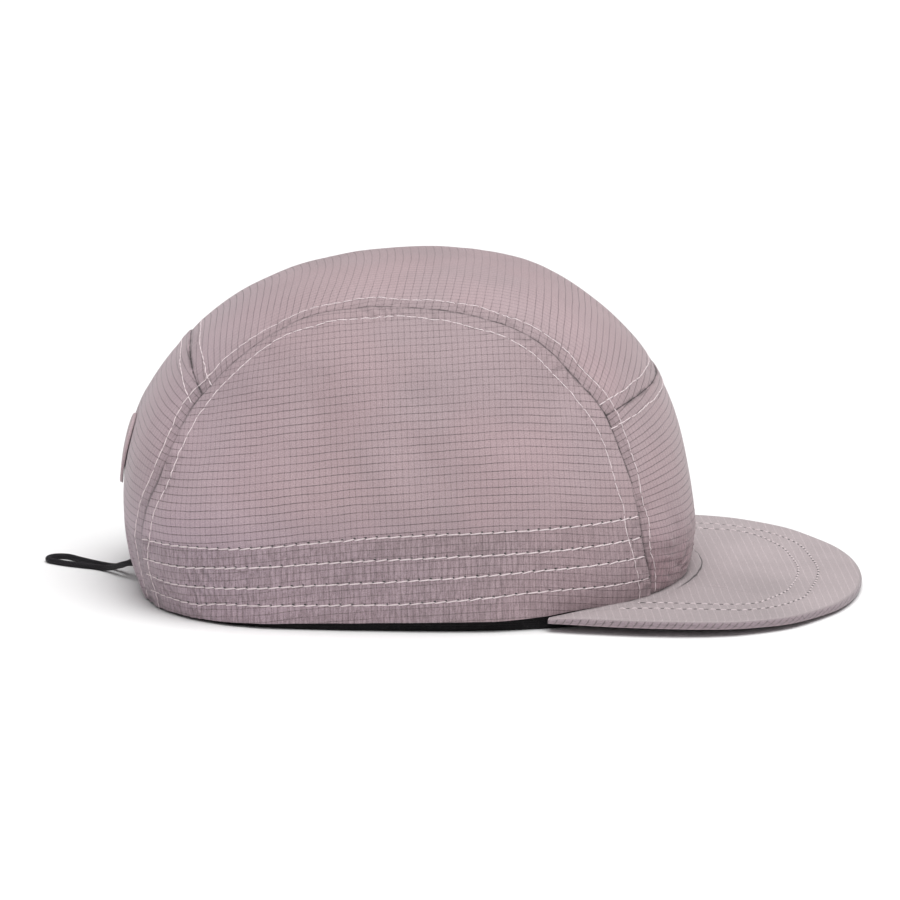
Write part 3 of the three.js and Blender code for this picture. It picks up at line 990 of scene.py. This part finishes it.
def add_stitches():
    pieces = []
    for side, word in ((-1, "right"), (1, "left")):
        def on_side(points, side=side):
            return side_relief(points, side)[0]

        # seen from outside, the right seam runs front to back with its side panel on the left
        strip = Stitching("stitches_strip_" + word, 61)
        strip.row(seam_stitches(side, side, MIDDLE), crown_normal, strip_lift, **LOCKED)
        flank = Stitching("stitches_side_" + word, 62)
        flank.row(seam_stitches(side, -side, SIDE), crown_normal, on_side, **LOCKED)
        hem = Stitching("stitches_hem_" + word, 63)
        for line in HEM_LINES[side]:
            hem.row(line, crown_normal, on_side, 4.0, width=0.5, thick=0.44, fill=1.12, slant=1.5, sink=0.1,
                    lean=-5 * side, hole_shadow=(0.85, 0.5, -0.48 * side))
        pieces += [part.finish("ripstop_cloth") for part in (strip, flank, hem)]
    cross = Stitching("stitches_cross", 64)
    for line in (FRONT_LINE, BACK_LINE):
        for offset in (-CROSS_ROW, CROSS_ROW):
            beside = line.beside(lambda points: offset + 0.2 * waves(points, 18, 66))
            cross.row(beside, crown_normal, strip_lift, **LOCKED)
    return [*pieces, cross.finish("ripstop_cloth")]


# The peak

# Heading, reach of the rim from the crown's axis, height of its upper side, thickness
PEAK = np.array((
    (0, 156.3, 3.85, 3.9), (10, 155.8, 3.85, 3.9), (17, 154.7, 4, 3.9), (22.5, 152.5, 4.3, 3.9),
    (28, 150.2, 4.7, 3.9), (31, 147.9, 4.9, 3.9), (34, 144.5, 5.2, 3.9), (37.5, 140, 5.5, 3.9),
    (41.6, 132.2, 5.8, 3.9), (46, 122.3, 6, 3.9), (53, 107, 6, 3.8), (57.5, 98.6, 5.7, 3.4),
    (60.5, 93, 4.6, 2.5),
))
PEAK_INNER_END = 58.5
PEAK_OUTER_END = 60.5
PEAK_SEAT = 0.7
PEAK_SWELL = 0.3
# Rows of stitches on the peak, right half: distance ahead of the crown's axis and to the side
INNER_ROW = np.array((
    (134, 0), (130.5, 30), (127, 41), (120, 55), (113, 60.8), (100, 62), (85, 62), (70, 62)), float)
OUTER_ROW = np.array((
    (141, 0), (137.5, 32), (134.5, 44.5), (127, 58), (120, 65), (113, 69), (97, 70.6), (70, 70.6)), float)
PEAK_PITCH = 3.85
# Width of the welt under the crown's front: at the sides, and how much more in the middle
WELT = 3.5
WELT_MORE = 2.6
WELT_SPREAD = 22
WELT_LINE = 0.25
RIM_EDGE = 1.15
# Length of cloth down round the rim
RIM_FALL = 4.2
# How far the peak's lower edge stands off the table, and how far in it comes down to it
EDGE_LIFT = 0.95
EDGE_RUN = 7
# A crease ahead of the crown's corner: where it starts, seen from above, and where it runs to
CREASE = np.array(((76, -33.5), (93, -43)))
# How far the cloth's lines lean on the peak, and round its rim
PEAK_SKEW = math.tan(math.radians(5))
RIM_SLANT = 0.8
# Sections from one corner to the other, and places in each: on the upper face, the rim and the under face
SECTIONS = 330
TOPS, RIMS, UNDERS = 72, 11, 16


def rim_plan(heading):
    """The rim seen from above, from the crown's axis"""
    reach, turn = read(PEAK, 1, np.abs(heading)), np.radians(heading)
    return pair(reach * np.cos(turn), reach * np.sin(turn))


def rim_normal(heading):
    """Level direction straight out from the rim"""
    ahead, behind = (np.clip(heading + shift, -PEAK_OUTER_END, PEAK_OUTER_END) for shift in (1.5, -1.5))
    run = rim_plan(ahead) - rim_plan(behind)
    return unit(pair(run[:, 1], -run[:, 0]))


def peak_base(turn, t):
    """Upper face of the peak before its stitches, and its inner and outer edges"""
    height = hem_height(turn * PEAK_INNER_END) - PEAK_SEAT
    inner = crown_plan(turn * PEAK_INNER_END, height, CLOTH)
    heading = turn * PEAK_OUTER_END
    outer = np.column_stack((rim_plan(heading) + (AXIS_X, 0), read(PEAK, 2, np.abs(heading))))
    place = inner + (outer - inner) * t[..., None]
    place[..., 2] += PEAK_SWELL * np.sin(math.pi * np.minimum(t, 1))
    return place, inner, outer


def peak_row(points):
    """A smooth line through a row's points and their mirror images"""
    whole = np.concatenate((points[:0:-1] * (1, -1), points))
    table = np.column_stack((run_lengths(whole), whole))
    fine = np.linspace(0, table[-1, 0], 600)
    return Line(np.stack((read(table, 1, fine) + AXIS_X, read(table, 2, fine), 0 * fine), axis=-1))


PEAK_ROWS = [peak_row(row) for row in (INNER_ROW, OUTER_ROW)]


def peak_relief(points, from_crown):
    """Raise, painted shade and the painted shadow line beside the welt on the peak's upper face: rows drawn
    in, a welt along the crown, a crease
    """
    x, y, _ = points.T
    raised, shade = 0.10 * waves(points, 30, 71) + 0.03 * waves(points, 9, 72), 1.0
    for line in PEAK_ROWS:
        gap, along = line.near(points * (1, 1, 0))
        raised += 0.07 * ridge(gap - 1.6, 1.2) * cycle(along, PEAK_PITCH) - 0.15 * ridge(gap, 0.9)
        # painted shade in the groove of each row
        shade *= 1 - 0.05 * ridge(gap, 0.8)
    ahead = ramp(20, 45, x)
    beyond = from_crown - WELT - WELT_MORE * ridge(y, WELT_SPREAD)
    welt = ramp(-0.2, 0.8, from_crown) * (1 - ramp(-0.5, 0.3, beyond))
    raised += ahead * (0.7 * welt - 0.15 * ridge(beyond - 0.4, 0.4))
    # painted shadow line beside the welt
    shade *= 1 - 0.12 * ahead * ridge(beyond - 0.2, 0.7) * ramp(42, 26, np.abs(y))
    marks = pair((beyond - 0.2) / WELT_LINE, ahead * ramp(46, 30, np.abs(y)))
    # painted shadow under the crown's edge; painted shade over the near side of the peak close to the crown,
    # a little painted light on its far side
    shade *= 1 - 0.45 * (1 - ramp(1.2, 2.3, from_crown)) * ahead
    shade *= (1 - 0.15 * ramp(116, 92, x) * ramp(10, -24, y)) * (1 + 0.03 * ramp(0, 40, y))
    way = unit(CREASE[1] - CREASE[0])
    off_x, off_y = x - CREASE[0, 0], y - CREASE[0, 1]
    run, off = off_x * way[0] + off_y * way[1], off_y * way[0] - off_x * way[1]
    fold = ramp(-3, 4, run) * ramp(20, 11, run) * (1 + 0.3 * waves(points, 9, 73))
    raised += 0.2 * fold * (ridge(off - 0.7, 0.9) - ridge(off + 1.1, 0.9))
    # painted shade on the hollow side of the crease
    return raised, shade * (1 - 0.06 * fold * ridge(off + 1.1, 0.9)), marks


def close_ring(piece, index):
    """Closes a rolled-up sheet along its inner edge and at both ends, given its vertices by section"""
    shape = bmesh.new()
    shape.from_mesh(piece.data)
    shape.verts.ensure_lookup_table()
    for loop in (*((a[0], a[-1], b[-1], b[0]) for a, b in zip(index, index[1:])), index[0], index[-1]):
        shape.faces.new([shape.verts[v] for v in loop])
    bmesh.ops.recalc_face_normals(shape, faces=shape.faces)
    shape.to_mesh(piece.data)
    shape.free()


def peak_cover():
    """The cloth drawn over the board: each section runs out over it, round the rim and back in"""
    piece, k, row = grid_piece("cloth_peak", TOPS + RIMS + UNDERS, SECTIONS)
    turn = 2 * row / (SECTIONS - 1) - 1
    _, inner, outer = peak_base(turn, 0 * turn)
    width = np.linalg.norm((outer - inner)[:, :2], axis=1)
    depth = np.minimum(RIM_EDGE, 0.45 * width)
    on_top, on_rim = k < TOPS, (k >= TOPS) & (k < TOPS + RIMS)
    which = [on_top, on_rim]
    part = np.select(which, (k / (TOPS - 1), (k - TOPS + 1) / (RIMS + 1)), (k - TOPS - RIMS) / (UNDERS - 1))
    sweep = (part - 0.5) * math.pi
    inward = depth + (width - depth) * np.where(on_top, 1 - part, part)
    inward = np.where(on_rim, depth * (1 - np.abs(np.cos(sweep)) ** 0.45), inward)
    place, _, _ = peak_base(turn, 1 - inward / width)
    round_off = 0.5 + 0.5 * np.sin(sweep) * (0.55 + 0.45 * np.abs(np.sin(sweep)))
    down = np.select(which, (0, round_off), 1.0)
    raised, shade, marks = peak_relief(place, width - inward)
    place[:, 2] += on_top * raised * ramp(0, 2.2, inward - depth)
    place[:, 2] -= down * read(PEAK, 3, np.abs(turn * PEAK_OUTER_END))
    place = above_table(place)
    place[:, 2] += EDGE_LIFT * down**2 * ramp(EDGE_RUN, 0.5, inward)
    # the rim's cloth is the upper face's, turned down over the edge
    fall = np.select(which, (0, part * RIM_FALL), RIM_FALL)
    laid = place[:, :2] + rim_normal(turn * PEAK_OUTER_END) * fall[:, None]
    turned = np.select(which, (0, ramp(0.1, 0.3, part)), 1.0)
    # painted shade: the rim darker than the upper face and darker still at its upper fold, with a painted
    # highlight along its lower edge
    edge = 1 + on_rim * (0.5 * ridge(part - 0.84, 0.09) - 0.2 * ridge(part - 0.13, 0.06))
    form(
        piece, place, tone=pair(np.where(on_top, shade, 1 - 0.3 * turned) * edge, turned),
        marks=marks * on_top[:, None],
        cloth=pair(laid[:, 1], laid[:, 0] + PEAK_SKEW * laid[:, 1] + RIM_SLANT * fall))
    index = np.empty((SECTIONS, TOPS + RIMS + UNDERS), dtype=int)
    index[row, k] = np.arange(len(k))
    close_ring(piece, index)
    smooth(50)
    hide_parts("peak")
    return piece


def drop_on_peak(points):
    """Places on the peak's upper face over places in plan"""
    face, _, _ = peak_base(np.repeat(np.linspace(-1, 1, 500), 90), np.tile(np.linspace(0, 1, 90), 500))
    result = points.copy()
    for i, point in enumerate(points):
        gap = ((face[:, :2] - point[:2]) ** 2).sum(1)
        near = np.argpartition(gap, 4)[:4]
        weight = 1 / (gap[near] + 1e-6)
        result[i, 2] = (face[near, 2] * weight).sum() / weight.sum()
    return result


def peak_lift(points):
    """The peak's relief away from the welt, less a little so that its stitches lie in the cloth"""
    return peak_relief(points, 30)[0] - 0.05


def add_peak_stitches():
    rows = Stitching("stitches_peak", 65)
    for line in PEAK_ROWS:
        # as far as the crown's side, where the rows run in under it
        outside = crown_level(line.points + (0, 0, 6)) > 0.02
        rows.row(
            Line(drop_on_peak(line.points[outside])), lambda p: np.tile((0.0, 0.0, 1.0), (len(p), 1)),
            peak_lift, PEAK_PITCH, width=0.8, thick=0.6, slant=4, fill=0.62, hole_shadow=(1.8, 0.95, 0.15))
    return rows.finish("peak_cloth")


# Band, patch and cord

BAND_TOP = 30
BAND_INSET = 2.4
BAND_THICK = 1.2
RIBS = 300
RIB_STEPS = 4
RIB_RELIEF = 0.16
PATCH_ANGLE = 173
PATCH_RADIUS = 12.5
PATCH_THICK = 1.2
# Widths of the patch's rings, from its edge inward
PATCH_RINGS = (0.35, 0.35, 0.5, 0.8, 2.2, 2.6)
CORD_RADIUS = 1.0
CORD_SIDES = 16
CORD_ROUTE = np.array((
    (-124.4, 2.3, 6.4), (-125.2, 3.4, 5.9), (-127.1, 6.4, 4.5), (-129.1, 10.6, 2.8), (-131.8, 15, 1.5),
    (-135.6, 19.2, 1.05), (-140.1, 23.3, 1.05), (-144.1, 27.5, 1.05), (-147.5, 31.4, 1.05),
    (-149.1, 32.5, 1.05), (-151.1, 32.9, 1.05), (-153, 32.4, 1.05), (-154.5, 31.1, 1.05),
    (-155.4, 29.3, 1.05), (-155.4, 27.3, 1.05), (-154.6, 25.5, 1.05), (-153.2, 24.2, 1.05),
    (-149.2, 21.2, 1.05), (-143.8, 18.3, 1.05), (-138.8, 15.9, 1.05),
    (-135, 12.7, 1.35), (-132.1, 8.5, 2.5), (-129.6, 4.1, 4.3), (-126.8, 0.1, 5.8), (-124.4, -2.3, 6.4),
))


def sweatband():
    """Ribbed stretch band inside the hem, standing on the table, rounded at its edges"""
    levels = np.linspace(1.2, BAND_TOP - 1.2, 10)
    # height, and depth as a share of the thickness, all round the section
    head = [(BAND_TOP - 0.35, 0.1), (BAND_TOP, 0.5), (BAND_TOP - 0.35, 0.9)]
    foot = [(0.35, 0.9), (0.02, 0.5), (0.35, 0.1), (1.2, 0)]
    section = np.array([*((z, 0) for z in levels), *head, *((z, 1) for z in levels[::-1]), *foot])
    dense = np.linspace(-180, 180, 2881)
    arc = run_lengths(crown_plan(dense, np.maximum(BAND_TOP / 2, hem_height(dense)), BAND_INSET))
    along = np.linspace(0, arc[-1], RIBS * RIB_STEPS + 1)
    heading = np.interp(along, arc, dense)
    furrow = RIB_RELIEF * (0.5 - 0.5 * np.cos(2 * math.pi * np.arange(len(along)) / RIB_STEPS))
    rings = np.empty((len(along), len(section), 3))
    for at, (level, depth) in enumerate(section):
        inset = BAND_INSET + BAND_THICK * depth + furrow * (1 - 2 * depth)
        rings[:, at] = crown_plan(heading, np.maximum(level, hem_height(heading)), inset)
        rings[:, at, 2] = level
    down, along = np.meshgrid(run_lengths(section), along)
    piece = tube("band_knit", rings, pair(along, down))
    bpy.ops.object.shade_smooth()
    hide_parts("sweatband")
    return piece


def back_patch():
    """A round patch with a rounded edge, bent round the back of the crown and left bare"""
    piece = start_piece(
        "patch_disc", bpy.ops.mesh.primitive_circle_add, vertices=96, radius=PATCH_RADIUS * MM,
        fill_type="TRIFAN")
    with editing(piece):
        for width in PATCH_RINGS:
            bpy.ops.mesh.inset(thickness=width * MM)
    flat = places_of(piece)
    edge = PATCH_RADIUS - np.hypot(flat[:, 0], flat[:, 1])
    dome = np.sqrt(np.clip(1 - ((0.9 - np.minimum(edge, 0.9)) / 0.9) ** 2, 0, 1))
    lift = 0.25 + 0.85 * dome * (PATCH_THICK - 0.25) / 0.95 + 0.1 * ramp(2.2, 1.2, edge) * dome
    on = crown_point(PATCH_ANGLE + np.degrees(flat[:, 0] / read(CROWN, 1, PATCH_ANGLE)), flat[:, 1])
    upper = on + crown_normal(on) * lift[:, None]
    # painted highlight on the rounded edge, painted shade where it meets the panel and in the ring inside it
    shade = 1 + 0.1 * ramp(1.6, 0.6, edge) - 0.45 * ramp(0.25, 0.0, edge) - 0.12 * ridge(edge - 1.9, 0.25)
    form(piece, upper, crown_normal(upper), tone=pair(shade, 0 * edge), cloth=flat[:, :2])
    give_wall(piece, 0.35)
    smooth(45)
    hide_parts("back_patch")
    return piece


def smooth_route(points, count):
    """A smooth curve through points, evenly divided, and its length"""
    def between(t, start, end, a, b):
        return (end - t) / (end - start) * a + (t - start) / (end - start) * b

    ends = np.concatenate(([2 * points[0] - points[1]], points, [2 * points[-1] - points[-2]]))
    fine = []
    for p in zip(ends, ends[1:], ends[2:], ends[3:]):
        k = np.concatenate(([0], np.cumsum([np.linalg.norm(b - a) ** 0.5 for a, b in zip(p, p[1:])])))
        t = np.linspace(k[1], k[2], 24, endpoint=False)[:, None]
        a = [between(t, k[i], k[i + 1], p[i], p[i + 1]) for i in range(3)]
        b = [between(t, k[i], k[i + 2], a[i], a[i + 1]) for i in range(2)]
        fine.append(between(t, k[1], k[2], *b))
    line = Line(np.concatenate(fine + [points[-1:]]))
    return line.at(np.linspace(0, line.length, count)), line.length


def drawcord():
    """The elastic loop, a braided tube on the CAD cord's own route"""
    route, length = smooth_route(CORD_ROUTE, 200)
    tangent = unit(np.gradient(route, axis=0))
    across = unit(np.cross(tangent[0], (0, 0, 1.0)))
    turn = np.linspace(0, 2 * math.pi, CORD_SIDES + 1)
    rings = []
    for place, direction in zip(route, tangent):
        across = unit(across - direction * (across @ direction))
        aside = np.cross(direction, across)
        rings.append(place + CORD_RADIUS * (np.outer(np.cos(turn), across) + np.outer(np.sin(turn), aside)))
    around, along = np.meshgrid(turn * CORD_RADIUS, np.linspace(0, length, len(route)))
    piece = tube("cord_loop", np.array(rings), pair(around, along))
    smooth(60)
    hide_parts("drawcord")
    (route[0] * MM).tolist()
    length * MM
    (route * MM).tolist()
    return piece


# Finishes

WEAVE = 0.34
# Distance between the cloth's strong lines, and between its weak ones on the crown and on the peak
STRONG_PITCH = 2.74
WEAK_PITCH = 2.05
PEAK_WEAK_PITCH = 2.3
PINK = srgb(175, 152, 156)
GREY = srgb(172, 152, 156)
COOL = srgb(181, 160, 171)
# the redder tint of the painted shade low on the front over the peak
WARM = srgb(192, 157, 165)
PEAK_BASE = srgb(174, 162, 164)
PEAK_PALE = srgb(214, 200, 203)
RIM_MAUVE = srgb(178, 160, 167)
PATCH_MAUVE = srgb(184, 162, 167)
THREAD_PALE = srgb(250, 234, 237)
THREAD_MAUVE = srgb(226, 212, 214)


class Cloth(Finish):
    """Thin nylon, its thread grid laid on the cloth's own map, with the shade worked out for each place"""

    def __init__(self, name, wander):
        super().__init__(name, Sheen_Weight=0.2, Sheen_Roughness=0.5, Specular_IOR_Level=0.32)
        self.laid = self.uv()
        # the first map value is the painted shade worked out for each place, with the cloth's own darker tone
        # where the band shows through; the second is its puckering on the crown and how far it is turned down
        # over the rim on the peak
        self.shade, self.second, _ = self.split(self.uv("tone"))
        loose = self.vector("SUBTRACT", self.noise(self.laid, 0.09, 2, "Color"), (0.5, 0.5, 0.5))
        self.crinkled = self.vector("ADD", self.laid, self.vector("MULTIPLY", loose, (wander,) * 3))
        self.across, self.along, _ = self.split(self.crinkled)
        self.grain = (self.across.near(WEAVE) + self.along.near(WEAVE)).step(0.0, WEAVE)

    def finish(self, base, relief, roughness=0.6):
        """Shades the base colour and presses the relief into the cloth"""
        cloudy, speckle = self.noise(self.place(), 34, 3), self.noise(self.laid, 2.4, 3)
        shade = self.shade * cloudy.step(0.3, 0.7, 0.96, 1.04) * speckle.step(0.25, 0.75, 0.83, 1.17)
        shade = shade * self.grain.step(0, 1, 1.04, 0.96)
        tint = self.node("ShaderNodeCombineColor", {}, {0: shade, 1: shade, 2: shade})
        self.set("Base Color", self.mix(1.0, base, tint, "MULTIPLY"))
        self.set("Roughness", cloudy.step(0.3, 0.7, roughness - 0.05, roughness + 0.06))
        self.bump(relief + self.grain * -0.25 + self.noise(self.crinkled, 0.9, 3) * 1.6, 0.00009)
        return self.material


def crown_cloth(name, pink, grey):
    """Ripstop: dark strong lines across, finer ones up and down, clearer where the cloth is puckered; painted
    shade in its creases, crinkles and seams
    """
    f = Cloth(name, 0.7)
    puckered = f.second.size()
    base = f.mix(f.noise(f.place(), 26, 3).step(0.34, 0.66), grey, pink)
    forward, _, up = f.split(f.place())
    low = up.step(0.02, 0.05, 1, 0) * forward.step(-0.06, 0.03, 1, 0.3)
    base = f.mix(low * 0.55 + forward.step(-0.11, -0.05, 0.35, 0), base, COOL)
    # a redder tint with the painted shade low on the front over the peak
    base = f.mix(f.second.step(0, -1) * 0.95, base, WARM)
    even = f.noise(f.laid, 0.05, 2).step(0.32, 0.55)
    near, strength, _ = f.split(f.uv("marks"))
    strong_line = f.along.near(STRONG_PITCH).step(0.04, 0.27, 1, 0)
    weak_line = (f.across + f.along * 0.04).near(WEAK_PITCH).step(0.03, 0.24, 1, 0)
    dots = f.along.near(0.91).step(0.1, 0.4, 1, 0.55) * f.noise(f.laid, 0.6, 2).step(0.3, 0.65, 0.6, 1.15)
    broken = f.noise(f.laid, 1.3, 3).step(0.3, 0.6, 0.6, 1)
    mask = strong_line * broken * (0.62 + even * 0.5) * (1 - puckered * 0.25)
    mask = (mask + strong_line * weak_line * 0.3) * strength
    mask = mask + weak_line * dots * (0.6 + puckered * 0.3) * (1.6 - strength * 0.6)
    stretched = f.noise(f.vector("MULTIPLY", f.laid, (1, 0.17, 1)), 0.6, 3)
    # painted shade in the creases and crinkles of puckered cloth
    crease = (stretched - 0.5).size().step(0.0, 0.1, 1, 0) * puckered
    crinkle_shade = f.noise(f.crinkled, 0.75, 4, rough=0.7).step(0.47, 0.66) * puckered
    lined = f.mix(mask * 0.8, base, darker(grey, 0.38))
    lined = f.mix(crease * 0.46 + crinkle_shade * 0.36, lined, darker(pink, 0.42))
    # painted shadow lines in the seams and along the front's lower edge
    uneven = near + (f.noise(f.place(), 300, 2) - 0.5) * 1.6
    seam = uneven.step(0.5, 1.1, 1, 0) * f.noise(f.place(), 620, 1).step(0.36, 0.6, 0.3, 1)
    return f.finish(f.mix(seam * 0.88, lined, darker(grey, 0.13)), mask * 0.6 - crease * 1.4)


def peak_cloth(name, base, pale):
    """The same cloth from its other side: pale lines on the upper face, dark ones round the rim"""
    f = Cloth(name, 0.3)
    strong_line = f.along.near(STRONG_PITCH).step(0.05, 0.3, 1, 0)
    strong_line = strong_line * f.noise(f.laid, 0.3, 2).step(0.3, 0.6, 0.25, 1)
    weak_line = f.across.near(PEAK_WEAK_PITCH).step(0.04, 0.25, 1, 0) * f.noise(f.laid, 0.4, 2).step(0.4, 0.6)
    rim_line = f.along.near(STRONG_PITCH).step(0.1, 0.4, 1, 0)
    on_top = f.mix(strong_line * 0.42 + weak_line * 0.2, base, pale)
    on_rim = f.mix(rim_line * 0.65 + weak_line * 0.5, RIM_MAUVE, darker(base, 0.3))
    beyond, strength, _ = f.split(f.uv("marks"))
    # painted shadow line beside the welt
    welt = beyond.size().step(0.6, 1.2, 1, 0) * strength
    return f.finish(f.mix(welt * 0.85, f.mix(f.second, on_top, on_rim), darker(base, 0.1)), strong_line * 0.4)


def plain_cloth(name, base):
    """Close plain cloth without a grid"""
    f = Cloth(name, 0.2)
    ribbed = f.along.near(0.55).step(0.05, 0.25)
    return f.finish(f.mix(ribbed * 0.18, base, darker(base, 0.7)), ribbed * 0.6, 0.68)


def thread(name, colour):
    """Two-ply thread, with painted shade between its plies and at its ends where it dips into the cloth, near
    black on the beads painted as the shadows of needle holes
    """
    f = Finish(name, Roughness=0.5, Sheen_Weight=0.3, Specular_IOR_Level=0.4)
    along, around, _ = f.split(f.uv())
    end = along.size()
    twist = (along * 5 + around * 2).near(1.0)
    # painted shade in the grooves between the plies
    lit_side = f.mix(twist.step(0.05, 0.4), darker(colour, 0.8), colour)
    worn = f.mix(f.noise(f.place(), 900, 1).step(0.3, 0.7) * 0.25, lit_side, darker(colour, 0.8))
    # painted shade at the stitch's ends, where it dips into the cloth
    sunk = f.mix(end.step(0.86, 1.0) * 0.5, worn, darker(colour, 0.4))
    # near black on the beads painted as the shadows of needle holes
    f.set("Base Color", f.mix(end.step(1.2, 1.8), sunk, darker(colour, 0.03)))
    f.bump(twist, 0.00008)
    return f.material


def knit(name):
    """Black ribbed stretch knit"""
    f = Finish(name, Roughness=0.85, Sheen_Weight=0.05, Sheen_Roughness=0.6, Specular_IOR_Level=0.2)
    along, down, _ = f.split(f.uv())
    loop = (down + along.near(0.95) * 0.6).near(0.8).step(0.05, 0.35)
    colour = f.mix(loop * 0.6, (0.004, 0.0035, 0.004), (0.016, 0.014, 0.016))
    f.set("Base Color", f.mix(f.noise(f.place(), 300, 2).step(0.4, 0.8) * 0.3, colour, (0.026, 0.024, 0.026)))
    f.bump(loop, 0.00012)
    return f.material


def braid(name):
    """Black braided elastic"""
    f = Finish(name, Sheen_Weight=0.02, Specular_IOR_Level=0.25)
    around, along, _ = f.split(f.uv())
    left, right = ((along * 0.9 + around).near(1.05), (along * 0.9 - around).near(1.05))
    weave = left.maths("MAXIMUM", left, right).step(0.12, 0.5)
    colour = f.mix(weave, (0.004, 0.003, 0.004), (0.014, 0.011, 0.015))
    worn = f.noise(f.place(), 500, 2).step(0.45, 0.8)
    f.set("Base Color", f.mix(worn * 0.3, colour, (0.026, 0.022, 0.027)))
    f.set("Roughness", weave.step(0, 1, 0.7, 0.48))
    f.bump(weave, 0.00012)
    return f.material


def dress(pieces, material):
    for piece in pieces:
        piece.data.materials.clear()
        piece.data.materials.append(material)
        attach(piece, "root")


dress(add_crown(), crown_cloth("ripstop_mauve", PINK, GREY))
dress([peak_cover()], peak_cloth("ripstop_peak", PEAK_BASE, PEAK_PALE))
dress([sweatband()], knit("knit_black"))
dress([back_patch()], plain_cloth("patch_plain", PATCH_MAUVE))
dress([drawcord()], braid("braid_black"))
dress(add_stitches(), thread("thread_pale", THREAD_PALE))
dress([add_peak_stitches()], thread("thread_mauve", THREAD_MAUVE))
